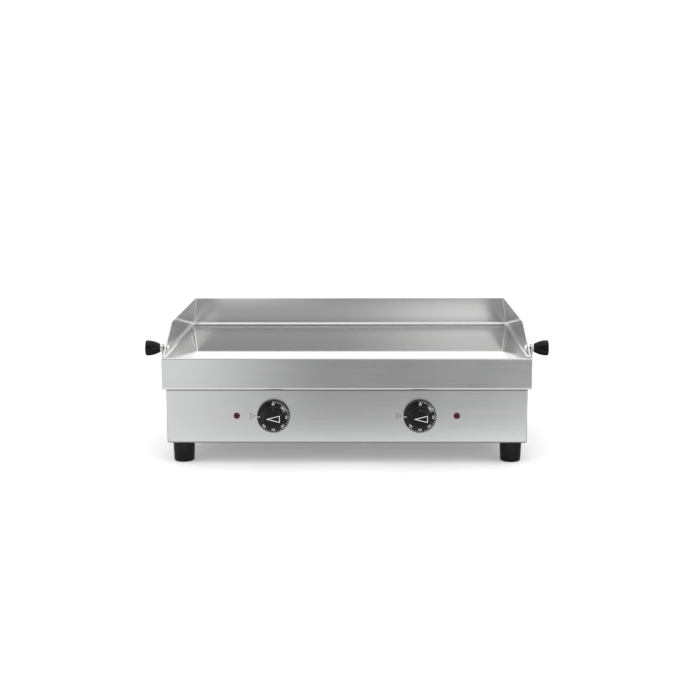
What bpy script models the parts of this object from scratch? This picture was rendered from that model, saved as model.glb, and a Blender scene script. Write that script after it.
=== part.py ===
"""Electric two-zone flat top griddle: a tilting stainless steel cooking top on a boxed base.

Metres, +Z up, the front faces -Y. The origin is on the surface the feet stand on, at the
centre of the whole object's footprint.
"""

from math import cos, pi, sin

import bmesh
import bpy
from mathutils import Matrix, Vector

GAP = 0.0003  # clearance kept between pieces that touch

# Cooking top
SKIRT_WIDTH = 0.685
SKIRT_DEPTH = 0.412
SKIRT_BOTTOM = 0.1431
SKIRT_SHEET = 0.0015
SIDE_LEDGE = 0.0018  # width of the skirt's top edge beside the splash guard
REAR_LEDGE = 0.0089
FRONT_LIP = 0.0030  # return at the front edge of the plate
PLATE_TOP = 0.2024
PLATE_THICKNESS = 0.0060
GUARD_TOP = 0.2603
GUARD_SHEET = 0.0025
GUARD_FILLET = 0.0065
GUARD_LEAN = 0.0077  # how far each side guard leans inwards over its height
SLANT_RUN = 0.0650  # length over which the side guards rise to full height
SLANT_FOOT = 0.0019  # height of a side guard above the plate at its front end

# Base
STEP = 0.0065  # the base is set in from the skirt by this much, all round
BASE_SHEET = 0.0012
BASE_BOTTOM = 0.0400
BASE_CORNER = 0.0035
REAR_PANEL_TOP = 0.1760
REAR_FLANGE = 0.0130
BOTTOM_SHEET = 0.0015
BOTTOM_FLANGE = 0.0120
FOOT_X = 0.3088
FOOT_INSET = 0.0300

# Controls
DIAL_X = 0.1362
CONTROL_Z = 0.0924
DIAL_REACH = 0.0300
DIAL_RADIUS = 0.0305
DIAL_GRIP_RADIUS = 0.0185
DIAL_STANDOFF = 0.0050
SPINDLE_RADIUS = 0.0030
PILOT_X = 0.2050
PILOT_RADIUS = 0.0060
THERMOSTAT_SIZE = (0.044, 0.038, 0.030)

# Lifting knobs
KNOB_INSET = 0.0263  # behind the skirt's front face
KNOB_Z = 0.2174
KNOB_END = 0.3745  # outer end, from the middle plane
FERRULE_LENGTH = 0.0022
STUD_RADIUS = 0.0030
HANDLE_NUT_RADIUS = 0.0055
BRACKET_STANDS = 0.0020  # how far a handle bracket stands out from the skirt's side
BRACKET_HALF = 0.0085
BRACKET_LAP = 0.0140  # how far it laps down the skirt's side

# Hinges
HINGE_X = 0.2200
HINGE_HALF = 0.0300
KNUCKLE_HALF = 0.0145
KNUCKLE_RADIUS = 0.0050
PIN_RADIUS = 0.0025
AXIS_BEHIND = 0.0065  # hinge axis behind the skirt's rear face
LEAF_SHEET = 0.0020

# Heating
ZONE_X = 0.1650
RUN_PITCH = 0.0750
TUBE_RADIUS = 0.00325
CLAMP_YS = {"front": -0.080, "rear": 0.070}
CLAMP_SHEET = 0.0020
CLAMP_STUD_RADIUS = 0.0025
SHIELD_HALF = (0.3105, 0.1680)
SHIELD_BOTTOM = 0.1732
SPACER_XY = (0.2920, 0.1550)
SPACER_RADIUS = 0.0045

# Derived places
REAR_REACH = STEP + 0.0070  # how far the cable gland stands behind the skirt
SKIRT_FRONT = (DIAL_REACH - STEP - REAR_REACH - SKIRT_DEPTH) / 2
SKIRT_REAR = SKIRT_FRONT + SKIRT_DEPTH
SKIRT_HALF = SKIRT_WIDTH / 2
PLATE_BOTTOM = PLATE_TOP - PLATE_THICKNESS
GUARD_HALF = SKIRT_HALF - SIDE_LEDGE - GAP
GUARD_FRONT = SKIRT_FRONT + FRONT_LIP + GAP
GUARD_REAR = SKIRT_REAR - REAR_LEDGE - GAP
GUARD_SEAT = PLATE_TOP + GAP
BRACKET_FACE = SKIRT_HALF + BRACKET_STANDS
BASE_HALF = SKIRT_HALF - STEP
BASE_FRONT = SKIRT_FRONT + STEP
BASE_REAR = SKIRT_REAR - STEP
BASE_TOP = PLATE_BOTTOM - GAP
BASE_FLOOR = BASE_BOTTOM + GAP
AXIS_Y = SKIRT_REAR + AXIS_BEHIND
AXIS_Z = SKIRT_BOTTOM
KNOB_Y = SKIRT_FRONT + KNOB_INSET
FEET = {
    "front_left": (-FOOT_X, BASE_FRONT + FOOT_INSET),
    "front_right": (FOOT_X, BASE_FRONT + FOOT_INSET),
    "rear_left": (-FOOT_X, BASE_REAR - FOOT_INSET),
    "rear_right": (FOOT_X, BASE_REAR - FOOT_INSET),
}
SPACERS = {
    "front_left": (-SPACER_XY[0], -SPACER_XY[1]),
    "front_right": (SPACER_XY[0], -SPACER_XY[1]),
    "rear_left": (-SPACER_XY[0], SPACER_XY[1]),
    "rear_right": SPACER_XY,
}
SIDES = {"left": -1, "right": 1}
GLAND_X = -0.2000
GLAND_Z = 0.0750

FINISHES = {
    "brushed_steel": ((0.60, 0.60, 0.59), 0.34, 1.0),
    "polished_steel": ((0.72, 0.72, 0.71), 0.10, 1.0),
    "plain_steel": ((0.45, 0.45, 0.44), 0.45, 1.0),
    "dark_tube": ((0.16, 0.14, 0.13), 0.55, 1.0),
    "fibre_mat": ((0.80, 0.78, 0.72), 0.95, 0.0),
    "black_gloss": ((0.012, 0.012, 0.013), 0.12, 0.0),
    "black_rubber": ((0.015, 0.015, 0.015), 0.55, 0.0),
    "red_lens": ((0.45, 0.01, 0.01), 0.15, 0.0),
    "white_insulator": ((0.78, 0.77, 0.72), 0.50, 0.0),
    "grey_nylon": ((0.10, 0.10, 0.11), 0.45, 0.0),
}


# ---- Mesh tools -------------------------------------------------------------------------------


def box(low, high):
    low, high = Vector(low), Vector(high)
    size = Matrix.Diagonal((*(high - low), 1.0))
    bm = bmesh.new()
    bmesh.ops.create_cube(bm, size=1.0, matrix=Matrix.Translation((low + high) / 2) @ size)
    return bm


def prism(outline, low, high, axis):
    """Extrudes a flat outline from low to high: (x, y) along z, (y, z) along x, (x, z) along y."""
    places = {
        "x": lambda u, v, w: (w, u, v),
        "y": lambda u, v, w: (u, w, v),
        "z": lambda u, v, w: (u, v, w),
    }
    bm = bmesh.new()
    face = bm.faces.new([bm.verts.new(places[axis](u, v, low)) for u, v in outline])
    extruded = bmesh.ops.extrude_face_region(bm, geom=[face])["geom"]
    rise = Vector(places[axis](0, 0, high - low))
    bmesh.ops.translate(bm, vec=rise, verts=[v for v in extruded if isinstance(v, bmesh.types.BMVert)])
    return bm


def arc(centre, radius, start, end, steps):
    """Points on an arc from start to end degrees."""
    angles = [(start + (end - start) * i / steps) * pi / 180 for i in range(steps + 1)]
    return [(centre[0] + radius * cos(a), centre[1] + radius * sin(a)) for a in angles]


def turned(profile, origin, axis, segments=24, ring=False):
    """Spins (radius, distance) points about the axis. A ring's profile closes on itself."""
    turn = Vector((0, 0, 1)).rotation_difference(Vector(axis)).to_matrix()
    bm = bmesh.new()
    loops = []
    for radius, distance in profile:
        count = segments if radius > 0 else 1
        angles = [2 * pi * i / segments for i in range(count)]
        places = [Vector((radius * cos(a), radius * sin(a), distance)) for a in angles]
        loops.append([bm.verts.new(Vector(origin) + turn @ place) for place in places])
    pairs = list(zip(loops, loops[1:]))
    if ring:
        pairs.append((loops[-1], loops[0]))
    for a, b in pairs:
        bridge(bm, a, b, segments)
    if not ring:
        for loop in (loops[0], loops[-1]):
            if len(loop) > 1:
                bm.faces.new(loop)
    return bm


def bridge(bm, a, b, segments):
    """Joins two loops of equal length, or a loop to a pole."""
    for i in range(segments):
        j = (i + 1) % segments
        corners = [a[i % len(a)], a[j % len(a)], b[j % len(b)], b[i % len(b)]]
        unique = list(dict.fromkeys(corners))
        if len(unique) > 2:
            bm.faces.new(unique)


def rod(radius, start, end, segments=24):
    """A plain cylinder between two points."""
    start, end = Vector(start), Vector(end)
    length = (end - start).length
    return turned([(radius, 0), (radius, length)], start, (end - start) / length, segments)


def hex_nut(radius, bore, origin, axis, height):
    profile = [(bore, 0), (radius, 0), (radius, height), (bore, height)]
    return turned(profile, origin, axis, 6 * 2, ring=True)


def screw(head, shank, origin, axis, head_height, length):
    """A pan head that starts at the origin, with its shank running along the axis."""
    edge = 0.25 * head_height
    profile = [(0, 0), (head - edge, 0), (head, edge), (head, head_height), (shank, head_height)]
    return turned(profile + [(shank, length), (0, length)], origin, axis, 12)


def tube(points, radius, sides=8):
    """A round bar along a level path."""
    up = Vector((0, 0, 1))
    bm = bmesh.new()
    loops = []
    for i, point in enumerate(points):
        before, after = points[max(i - 1, 0)], points[min(i + 1, len(points) - 1)]
        across = up.cross((after - before).normalized())
        angles = [2 * pi * k / sides for k in range(sides)]
        loops.append([bm.verts.new(point + radius * (cos(a) * across + sin(a) * up)) for a in angles])
    for a, b in zip(loops, loops[1:]):
        bridge(bm, a, b, sides)
    bm.faces.new(loops[0])
    bm.faces.new(loops[-1])
    return bm


def frame_ring(rings):
    """A closed rectangular frame. Each ring is one corner of its section: half width, front, rear, z."""
    bm = bmesh.new()
    loops = []
    for half, front, rear, z in rings:
        corners = [(-half, front, z), (half, front, z), (half, rear, z), (-half, rear, z)]
        loops.append([bm.verts.new(corner) for corner in corners])
    for a, b in zip(loops, loops[1:] + loops[:1]):
        bridge(bm, a, b, 4)
    return bm


def group(solids):
    """Puts separate cutters in one mesh."""
    whole = bmesh.new()
    for solid in solids:
        mesh = bpy.data.meshes.new("scratch")
        solid.to_mesh(mesh)
        solid.free()
        whole.from_mesh(mesh)
        bpy.data.meshes.remove(mesh)
    return whole


def scratch_object(bm):
    bmesh.ops.recalc_face_normals(bm, faces=bm.faces)
    mesh = bpy.data.meshes.new("scratch")
    bm.to_mesh(mesh)
    bm.free()
    obj = bpy.data.objects.new("scratch", mesh)
    bpy.context.scene.collection.objects.link(obj)
    return obj


def boolean(bm, tools, operation):
    target = scratch_object(bm)
    helpers = [scratch_object(tool) for tool in tools]
    for helper in helpers:
        modifier = target.modifiers.new("boolean", "BOOLEAN")
        modifier.operation = operation
        modifier.object = helper
    evaluated = target.evaluated_get(bpy.context.evaluated_depsgraph_get())
    result = bmesh.new()
    result.from_mesh(evaluated.to_mesh())
    evaluated.to_mesh_clear()
    for obj in [target, *helpers]:
        bpy.data.meshes.remove(obj.data)
    return result


def cut(bm, tools):
    return boolean(bm, [group(tools)], "DIFFERENCE")


def union(bm, tools):
    return boolean(bm, tools, "UNION")


def make_material(name, finish):
    colour, roughness, metallic = FINISHES[finish]
    material = bpy.data.materials.new(name)
    material.use_nodes = True
    shader = material.node_tree.nodes["Principled BSDF"]
    shader.inputs["Base Color"].default_value = (*colour, 1.0)
    shader.inputs["Roughness"].default_value = roughness
    shader.inputs["Metallic"].default_value = metallic
    return material


def add_part(name, bm, finish, parent=None):
    """Links the finished solid as a named object. A parent empty stands on its joint's axis."""
    bmesh.ops.recalc_face_normals(bm, faces=bm.faces)
    mesh = bpy.data.meshes.new(name)
    bm.to_mesh(mesh)
    bm.free()
    mesh.shade_smooth()
    mesh.set_sharp_from_angle(angle=35 * pi / 180)
    mesh.materials.append(make_material(name, finish))
    obj = bpy.data.objects.new(name, mesh)
    bpy.context.scene.collection.objects.link(obj)
    if parent:
        obj.parent = parent
        obj.matrix_parent_inverse = parent.matrix_world.inverted()
    return obj


def add_axis(name, place):
    empty = bpy.data.objects.new(name, None)
    empty.location = place
    bpy.context.scene.collection.objects.link(empty)
    bpy.context.view_layer.update()
    return empty


# ---- Cooking top ------------------------------------------------------------------------------


def cooking_plate():
    """The plate, with the clamp studs and the shield's spacers welded to its underside."""
    half, root = GUARD_HALF - GUARD_SHEET - GAP, PLATE_BOTTOM + 0.001
    plate = box((-half, GUARD_FRONT, PLATE_BOTTOM), (half, GUARD_REAR - GUARD_SHEET - GAP, PLATE_TOP))
    stud_end = clamp_top() - 0.0070
    welded = [
        rod(CLAMP_STUD_RADIUS, (side * ZONE_X, y, stud_end), (side * ZONE_X, y, root), 12)
        for side in SIDES.values()
        for y in CLAMP_YS.values()
    ]
    spacer_end = SHIELD_BOTTOM + BASE_SHEET + GAP
    welded += [rod(SPACER_RADIUS, (*xy, spacer_end), (*xy, root), 12) for xy in SPACERS.values()]
    holes = [rod(0.0023, (*xy, spacer_end - 0.01), (*xy, spacer_end + 0.014), 12) for xy in SPACERS.values()]
    return cut(union(plate, welded), holes)


def guard_inset(z):
    """How far a side guard leans in at this height."""
    return GUARD_LEAN * max(0.0, z - GUARD_SEAT) / (GUARD_TOP - GUARD_SEAT)


def splash_guard():
    """A folded wall round three sides of the plate, filleted at its foot, with slanted front ends."""
    nose = 0.0002
    centre = (GUARD_SHEET + GUARD_FILLET, GUARD_SEAT + nose + GUARD_FILLET)
    section = [(0, PLATE_BOTTOM), (0, GUARD_SEAT), (0, GUARD_TOP), (GUARD_SHEET, GUARD_TOP)]
    section += arc(centre, GUARD_FILLET, 180, 270, 5)
    section += [(GUARD_SHEET + GUARD_FILLET, GUARD_SEAT), (GUARD_SHEET, GUARD_SEAT), (GUARD_SHEET, PLATE_BOTTOM)]
    bm = bmesh.new()
    loops = []
    for inward, z in section:
        half, rear = GUARD_HALF - inward - guard_inset(z), GUARD_REAR - inward
        path = [(-half, GUARD_FRONT), (-half, rear), (half, rear), (half, GUARD_FRONT)]
        loops.append([bm.verts.new((x, y, z)) for x, y in path])
    for a, b in zip(loops, loops[1:] + loops[:1]):
        for i in range(3):
            bm.faces.new([a[i], a[i + 1], b[i + 1], b[i]])
    for end in (0, 3):
        bm.faces.new([loop[end] for loop in loops])
    foot = PLATE_TOP + SLANT_FOOT
    slope = SLANT_RUN / (GUARD_TOP - foot)
    over, past = GUARD_TOP + 0.010, GUARD_FRONT - 0.010
    wedge = [(GUARD_FRONT, foot), (GUARD_FRONT + slope * (over - foot), over), (past, over), (past, foot)]
    wall = cut(bm, [prism(wedge, -0.5, 0.5, "x")])
    return cut(wall, [stud_hole()])


def stud_hole():
    return rod(STUD_RADIUS + 0.0005, (-0.5, KNOB_Y, KNOB_Z), (0.5, KNOB_Y, KNOB_Z))


def skirt():
    """The deep band round the plate, with a narrow ledge at the sides and rear.

    A handle bracket is welded to each side and rises past the ledge to carry the knob's stud.
    """
    half, front, rear, sheet = SKIRT_HALF, SKIRT_FRONT, SKIRT_REAR, SKIRT_SHEET
    ledge = (half - SIDE_LEDGE, front + FRONT_LIP, rear - REAR_LEDGE)
    wall = (half - sheet, front + sheet, rear - sheet)
    rings = [
        (half, front, rear, SKIRT_BOTTOM),
        (half, front, rear, PLATE_TOP),
        (*ledge, PLATE_TOP),
        (*ledge, PLATE_TOP - sheet),
        (*wall, PLATE_TOP - sheet),
        (*wall, SKIRT_BOTTOM),
    ]
    brackets = [handle_bracket(side) for side in SIDES.values()]
    return cut(union(frame_ring(rings), brackets), [stud_hole()])


def handle_bracket(side):
    """An upright strap, rounded about the stud."""
    radius, foot = BRACKET_HALF, PLATE_TOP - BRACKET_LAP
    outline = [(KNOB_Y + radius, foot), *arc((KNOB_Y, KNOB_Z), radius, 0, 180, 10), (KNOB_Y - radius, foot)]
    xs = sorted((side * (SKIRT_HALF - 0.0008), side * BRACKET_FACE))
    return prism(outline, *xs, "x")


def handle_ferrule(side):
    bore, length = STUD_RADIUS + 0.0004, FERRULE_LENGTH
    profile = [(bore, 0), (0.0066, 0), (0.0070, 0.0006), (0.0068, length), (bore, length)]
    return turned(profile, (side * (BRACKET_FACE + GAP), KNOB_Y, KNOB_Z), (side, 0, 0), 16, ring=True)


def handle_knob(side):
    """A solid bell shape that swells outwards, with a rounded end and a blind hole for the stud."""
    start = BRACKET_FACE + FERRULE_LENGTH + 2 * GAP
    bore, depth, length = STUD_RADIUS + 0.0003, 0.0160, KNOB_END - start
    profile = [(0, depth), (bore, depth), (bore, 0), (0.0074, 0), (0.0082, 0.0008), (0.0104, 0.0045)]
    profile += [(0.0126, 0.0100), (0.0139, 0.0160), (0.0144, 0.0212), (0.0142, 0.0240)]
    profile += [(0.0130, length - 0.0012), (0.0104, length - 0.0004), (0, length)]
    return turned(profile, (side * start, KNOB_Y, KNOB_Z), (side, 0, 0), 24)


def handle_stud(side):
    start, end = nut_face() - 0.0060, BRACKET_FACE + 0.0150
    return rod(STUD_RADIUS, (side * start, KNOB_Y, KNOB_Z), (side * end, KNOB_Y, KNOB_Z), 16)


def nut_face():
    """Where a handle nut meets the inside of the leaning guard."""
    return GUARD_HALF - guard_inset(KNOB_Z + HANDLE_NUT_RADIUS) - GUARD_SHEET - GAP


def handle_nut(side):
    height = 0.0045
    bore, face = STUD_RADIUS + 0.0004, nut_face() - height
    return hex_nut(HANDLE_NUT_RADIUS, bore, (side * face, KNOB_Y, KNOB_Z), (side, 0, 0), height)


# ---- Heating parts under the plate ------------------------------------------------------------


def heating_element(side):
    """A tubular element bent into four runs, with both cold ends at the rear."""
    z = PLATE_BOTTOM - GAP - TUBE_RADIUS
    front, rear, end = -0.115, 0.105, 0.155
    turn = RUN_PITCH / 2
    runs = [side * ZONE_X + RUN_PITCH * k for k in (-1.5, -0.5, 0.5, 1.5)]
    flat = [(runs[0], end), *arc((runs[0] + turn, front), turn, 180, 360, 10)]
    flat += arc((runs[1] + turn, rear), turn, 180, 0, 10)
    flat += [*arc((runs[2] + turn, front), turn, 180, 360, 10), (runs[3], end)]
    return tube([Vector((x, y, z)) for x, y in flat], TUBE_RADIUS)


def clamp_top():
    return PLATE_BOTTOM - 2 * GAP - 2 * TUBE_RADIUS


def clamp_bar(side, y):
    """A strap that holds the four runs against the plate."""
    half, top, x = 0.1280, clamp_top(), side * ZONE_X
    bar = box((x - half, y - 0.009, top - CLAMP_SHEET), (x + half, y + 0.009, top))
    return cut(bar, [rod(CLAMP_STUD_RADIUS + 0.0004, (x, y, top - 0.01), (x, y, top + 0.01), 12)])


def clamp_nut(side, y):
    height = 0.0035
    low = clamp_top() - CLAMP_SHEET - GAP - height
    return hex_nut(0.0046, CLAMP_STUD_RADIUS + GAP, (side * ZONE_X, y, low), (0, 0, 1), height)


def sensor_bulb(side):
    radius = 0.0030
    z = PLATE_BOTTOM - GAP - radius
    return rod(radius, (side * ZONE_X, -0.045, z), (side * ZONE_X, 0.045, z), 12)


def heat_shield():
    """A shallow tray that closes the heating chamber from below."""
    x, y = SHIELD_HALF
    sheet, rim = BASE_SHEET, 0.0100
    low = SHIELD_BOTTOM
    outer = box((-x, -y, low), (x, y, low + rim))
    inside = box((sheet - x, sheet - y, low + sheet), (x - sheet, y - sheet, low + rim + 0.01))
    holes = [rod(0.0025, (*xy, low - 0.01), (*xy, low + 0.01), 12) for xy in SPACERS.values()]
    return cut(cut(outer, [inside]), holes)


def shield_screw(xy):
    head = 0.0025
    return screw(0.0040, 0.0020, (*xy, SHIELD_BOTTOM - GAP - head), (0, 0, 1), head, 0.0150)


def insulation_mat():
    low = SHIELD_BOTTOM + BASE_SHEET + GAP
    return box((-0.2750, -0.1450, low), (0.2750, 0.1450, low + 0.0065))


# ---- Hinges -----------------------------------------------------------------------------------


def knuckle(x_low, x_high):
    return rod(KNUCKLE_RADIUS, (x_low, AXIS_Y, AXIS_Z), (x_high, AXIS_Y, AXIS_Z), 16)


def hinge_bore(x):
    return rod(PIN_RADIUS + GAP, (x - 0.1, AXIS_Y, AXIS_Z), (x + 0.1, AXIS_Y, AXIS_Z), 16)


def rivet_heads(x, y, z):
    """The two round rivet heads on the outer face of a leaf."""
    profile = [(0, -0.0010), (0.0038, -0.0010), (0.0038, 0.0002), (0.0026, 0.0011), (0, 0.0014)]
    return [turned(profile, (x + dx, y, z), (0, 1, 0), 12) for dx in (-0.018, 0.018)]


def hinge_top_leaf(side):
    """The leaf riveted to the skirt's rear face, with the middle knuckle."""
    x = side * HINGE_X
    near = SKIRT_REAR + GAP
    leaf = box((x - HINGE_HALF, near, AXIS_Z + 0.006), (x + HINGE_HALF, near + LEAF_SHEET, AXIS_Z + 0.030))
    neck = box((x - KNUCKLE_HALF, near, AXIS_Z), (x + KNUCKLE_HALF, near + LEAF_SHEET, AXIS_Z + 0.007))
    heads = rivet_heads(x, near + LEAF_SHEET, AXIS_Z + 0.0200)
    body = union(leaf, [neck, knuckle(x - KNUCKLE_HALF, x + KNUCKLE_HALF), *heads])
    return cut(body, [hinge_bore(x)])


def hinge_base_leaf(side):
    """The leaf riveted to the rear panel. Two arms reach out below the skirt to the outer knuckles."""
    x = side * HINGE_X
    near = BASE_REAR + GAP
    arm_top = AXIS_Z - 0.0030
    leaf = box((x - HINGE_HALF, near, AXIS_Z - 0.0400), (x + HINGE_HALF, near + LEAF_SHEET, arm_top))
    tools = rivet_heads(x, near + LEAF_SHEET, AXIS_Z - 0.0250)
    inner = KNUCKLE_HALF + 0.0005
    for a, b in ((x - HINGE_HALF, x - inner), (x + inner, x + HINGE_HALF)):
        tools.append(box((a, near, AXIS_Z - KNUCKLE_RADIUS), (b, AXIS_Y, arm_top)))
        tools.append(knuckle(a, b))
    return cut(union(leaf, tools), [hinge_bore(x)])


def hinge_pin(side):
    x, end = side * HINGE_X, HINGE_HALF + GAP
    profile = [(0, -end), (PIN_RADIUS, -end), (PIN_RADIUS, end), (0.0040, end), (0.0040, end + 0.0015)]
    return turned(profile + [(0, end + 0.0015)], (x, AXIS_Y, AXIS_Z), (1, 0, 0), 16)


# ---- Base -------------------------------------------------------------------------------------


def base_housing():
    """One wrap of sheet: the front and both sides, with rounded upright corners."""
    sheet, half, front, radius = BASE_SHEET, BASE_HALF, BASE_FRONT, BASE_CORNER
    centres = ((-half + radius, front + radius), (half - radius, front + radius))
    outer = [(-half, BASE_REAR), *arc(centres[0], radius, 180, 270, 4), *arc(centres[1], radius, 270, 360, 4)]
    outer.append((half, BASE_REAR))
    inner = [(half - sheet, BASE_REAR), *arc(centres[1], radius - sheet, 360, 270, 4)]
    inner += [*arc(centres[0], radius - sheet, 270, 180, 4), (sheet - half, BASE_REAR)]
    wall = prism(outer + inner, BASE_BOTTOM, BASE_TOP, "z")
    return cut(wall, control_holes())


def control_holes():
    """Holes in the front for the spindles and the pilot lamps."""
    holes = []
    for side in SIDES.values():
        for x, radius in ((side * DIAL_X, 0.0043), (side * PILOT_X, 0.0048)):
            holes.append(rod(radius, (x, BASE_FRONT - 0.01, CONTROL_Z), (x, BASE_FRONT + 0.01, CONTROL_Z), 16))
    return holes


def rear_panel():
    """The rear wall, with a flange along each side and a row of vent slots low down."""
    half, sheet = BASE_HALF - BASE_SHEET - GAP, BASE_SHEET
    front = BASE_REAR - REAR_FLANGE
    outline = [(-half, front), (sheet - half, front), (sheet - half, BASE_REAR - sheet)]
    outline += [(half - sheet, BASE_REAR - sheet), (half - sheet, front), (half, front)]
    outline += [(half, BASE_REAR), (-half, BASE_REAR)]
    wall = prism(outline, BASE_FLOOR + BOTTOM_SHEET + GAP, REAR_PANEL_TOP, "z")
    tools = [rod(0.0083, (GLAND_X, BASE_REAR - 0.01, GLAND_Z), (GLAND_X, BASE_REAR + 0.01, GLAND_Z), 16)]
    for k in range(9):
        x = -0.080 + 0.020 * k
        tools.append(box((x - 0.002, BASE_REAR - 0.01, 0.060), (x + 0.002, BASE_REAR + 0.01, 0.090)))
    return cut(wall, tools)


def bottom_panel():
    """The floor of the base, with an upturned flange along each side and four pressed-in nuts."""
    half, low, sheet = BASE_HALF - BASE_SHEET - GAP, BASE_FLOOR, BOTTOM_SHEET
    top = low + BOTTOM_FLANGE
    section = [(-half, low), (half, low), (half, top), (half - sheet, top), (half - sheet, low + sheet)]
    section += [(sheet - half, low + sheet), (sheet - half, top), (-half, top)]
    front, rear = BASE_FRONT + BASE_SHEET + GAP, BASE_REAR - GAP
    floor = prism(section, front + BASE_CORNER, BASE_REAR - REAR_FLANGE - 0.002, "y")
    tools = [box((0.003 - half, front, low), (half - 0.003, rear, low + sheet))]
    tools += [rod(0.0050, (*xy, low + 0.0005), (*xy, low + 0.0060), 16) for xy in FEET.values()]
    return cut(union(floor, tools), [rod(0.0031, (*xy, 0.03), (*xy, 0.06), 16) for xy in FEET.values()])


def foot(x, y):
    """A tapered rubber foot, hollowed below for its screw."""
    top = BASE_BOTTOM
    profile = [(0.0032, 0.0100), (0.0080, 0.0100), (0.0080, 0), (0.0176, 0), (0.0190, 0.0007)]
    profile += [(0.0196, 0.0022), (0.0209, top - 0.0008), (0.0206, top), (0.0032, top)]
    return turned(profile, (x, y, 0), (0, 0, 1), 24, ring=True)


def foot_screw(xy):
    head = 0.0035
    return screw(0.0050, 0.0026, (*xy, 0.0100 - GAP - head), (0, 0, 1), head, 0.0420)


# ---- Controls and wiring parts ----------------------------------------------------------------


def dial(side):
    """A round skirted dial with a raised grip and a blind hole for the spindle."""
    x = side * DIAL_X
    bore, depth = SPINDLE_RADIUS + GAP, 0.0200
    reach, rim, grip = DIAL_REACH, DIAL_RADIUS, DIAL_GRIP_RADIUS
    profile = [(0, depth), (bore, depth), (bore, DIAL_STANDOFF), (rim - 0.0010, DIAL_STANDOFF)]
    profile += [(rim, 0.0058), (rim, 0.0080), (rim - 0.0012, 0.0096), (grip + 0.0012, 0.0122)]
    profile += [(grip, 0.0136), (grip - 0.0006, reach - 0.0016), (grip - 0.0022, reach), (0, reach)]
    return turned(profile, (x, BASE_FRONT, CONTROL_Z), (0, -1, 0), 32)


def spindle(side):
    x, rear = side * DIAL_X, BASE_FRONT + BASE_SHEET + GAP + 0.0090
    return rod(SPINDLE_RADIUS, (x, rear, CONTROL_Z), (x, BASE_FRONT - 0.0195, CONTROL_Z), 16)


def thermostat(side):
    """A boxed capillary thermostat with a socket for the spindle and four terminal blades."""
    x = side * DIAL_X
    wide, deep, high = THERMOSTAT_SIZE
    near = BASE_FRONT + BASE_SHEET + GAP
    body = box((x - wide / 2, near, CONTROL_Z - high / 2), (x + wide / 2, near + deep, CONTROL_Z + high / 2))
    blades = []
    for dx in (-0.012, 0.012):
        for dz in (-0.007, 0.007):
            low = (x + dx - 0.0032, near + deep - 0.002, CONTROL_Z + dz - 0.0004)
            blades.append(box(low, (x + dx + 0.0032, near + deep + 0.008, CONTROL_Z + dz + 0.0004)))
    socket = rod(SPINDLE_RADIUS + GAP, (x, near - 0.01, CONTROL_Z), (x, near + 0.010, CONTROL_Z), 16)
    return cut(union(body, blades), [socket])


def pilot_lens(side):
    """A domed lens with its barrel and two tail blades, made in one piece."""
    radius, barrel = PILOT_RADIUS, 0.0043
    profile = [(0, 0.0034), (0.0030, 0.0030), (radius - 0.0008, 0.0018), (radius, 0.0008), (radius, GAP)]
    profile += [(barrel, GAP), (barrel, -0.0160), (0.0030, -0.0170), (0.0030, -0.0220), (0, -0.0220)]
    return turned(profile, (side * PILOT_X, BASE_FRONT, CONTROL_Z), (0, -1, 0), 16)


def pilot_clip(side):
    bore, outer = 0.0047, 0.0078
    near, far = -(BASE_SHEET + GAP), -(BASE_SHEET + GAP + 0.0045)
    profile = [(bore, near), (outer, near), (outer, far), (bore, far)]
    return turned(profile, (side * PILOT_X, BASE_FRONT, CONTROL_Z), (0, -1, 0), 16, ring=True)


def terminal_block():
    """Three-way block with wire entries along its front and rear."""
    x, y, low = GLAND_X, BASE_REAR - 0.052, BASE_FLOOR + BOTTOM_SHEET + GAP
    block = box((x - 0.030, y - 0.011, low), (x + 0.030, y + 0.011, low + 0.022))
    entries = []
    for dx in (-0.019, 0.0, 0.019):
        centre = low + 0.008
        entries.append(rod(0.0028, (x + dx, y - 0.02, centre), (x + dx, y - 0.004, centre), 12))
        entries.append(rod(0.0028, (x + dx, y + 0.004, centre), (x + dx, y + 0.02, centre), 12))
    return cut(block, entries)


def cable_gland():
    """The body outside the rear panel and its threaded neck through it."""
    outer, neck, reach = 0.0125, 0.0078, SKIRT_REAR + REAR_REACH - BASE_REAR
    profile = [(0, -0.0090), (neck, -0.0090), (neck, GAP), (outer, GAP), (outer, 0.0080), (0.0110, 0.0090)]
    profile += [(0.0110, reach - 0.0030), (0.0085, reach), (0.0045, reach), (0.0045, reach - 0.0030)]
    profile.append((0, reach - 0.0030))
    return turned(profile, (GLAND_X, BASE_REAR, GLAND_Z), (0, 1, 0), 16)


def gland_nut():
    height = 0.0050
    start = BASE_REAR - BASE_SHEET - GAP - height
    return hex_nut(0.0125, 0.0082, (GLAND_X, start, GLAND_Z), (0, 1, 0), height)


# ---- Assembly ---------------------------------------------------------------------------------


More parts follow.
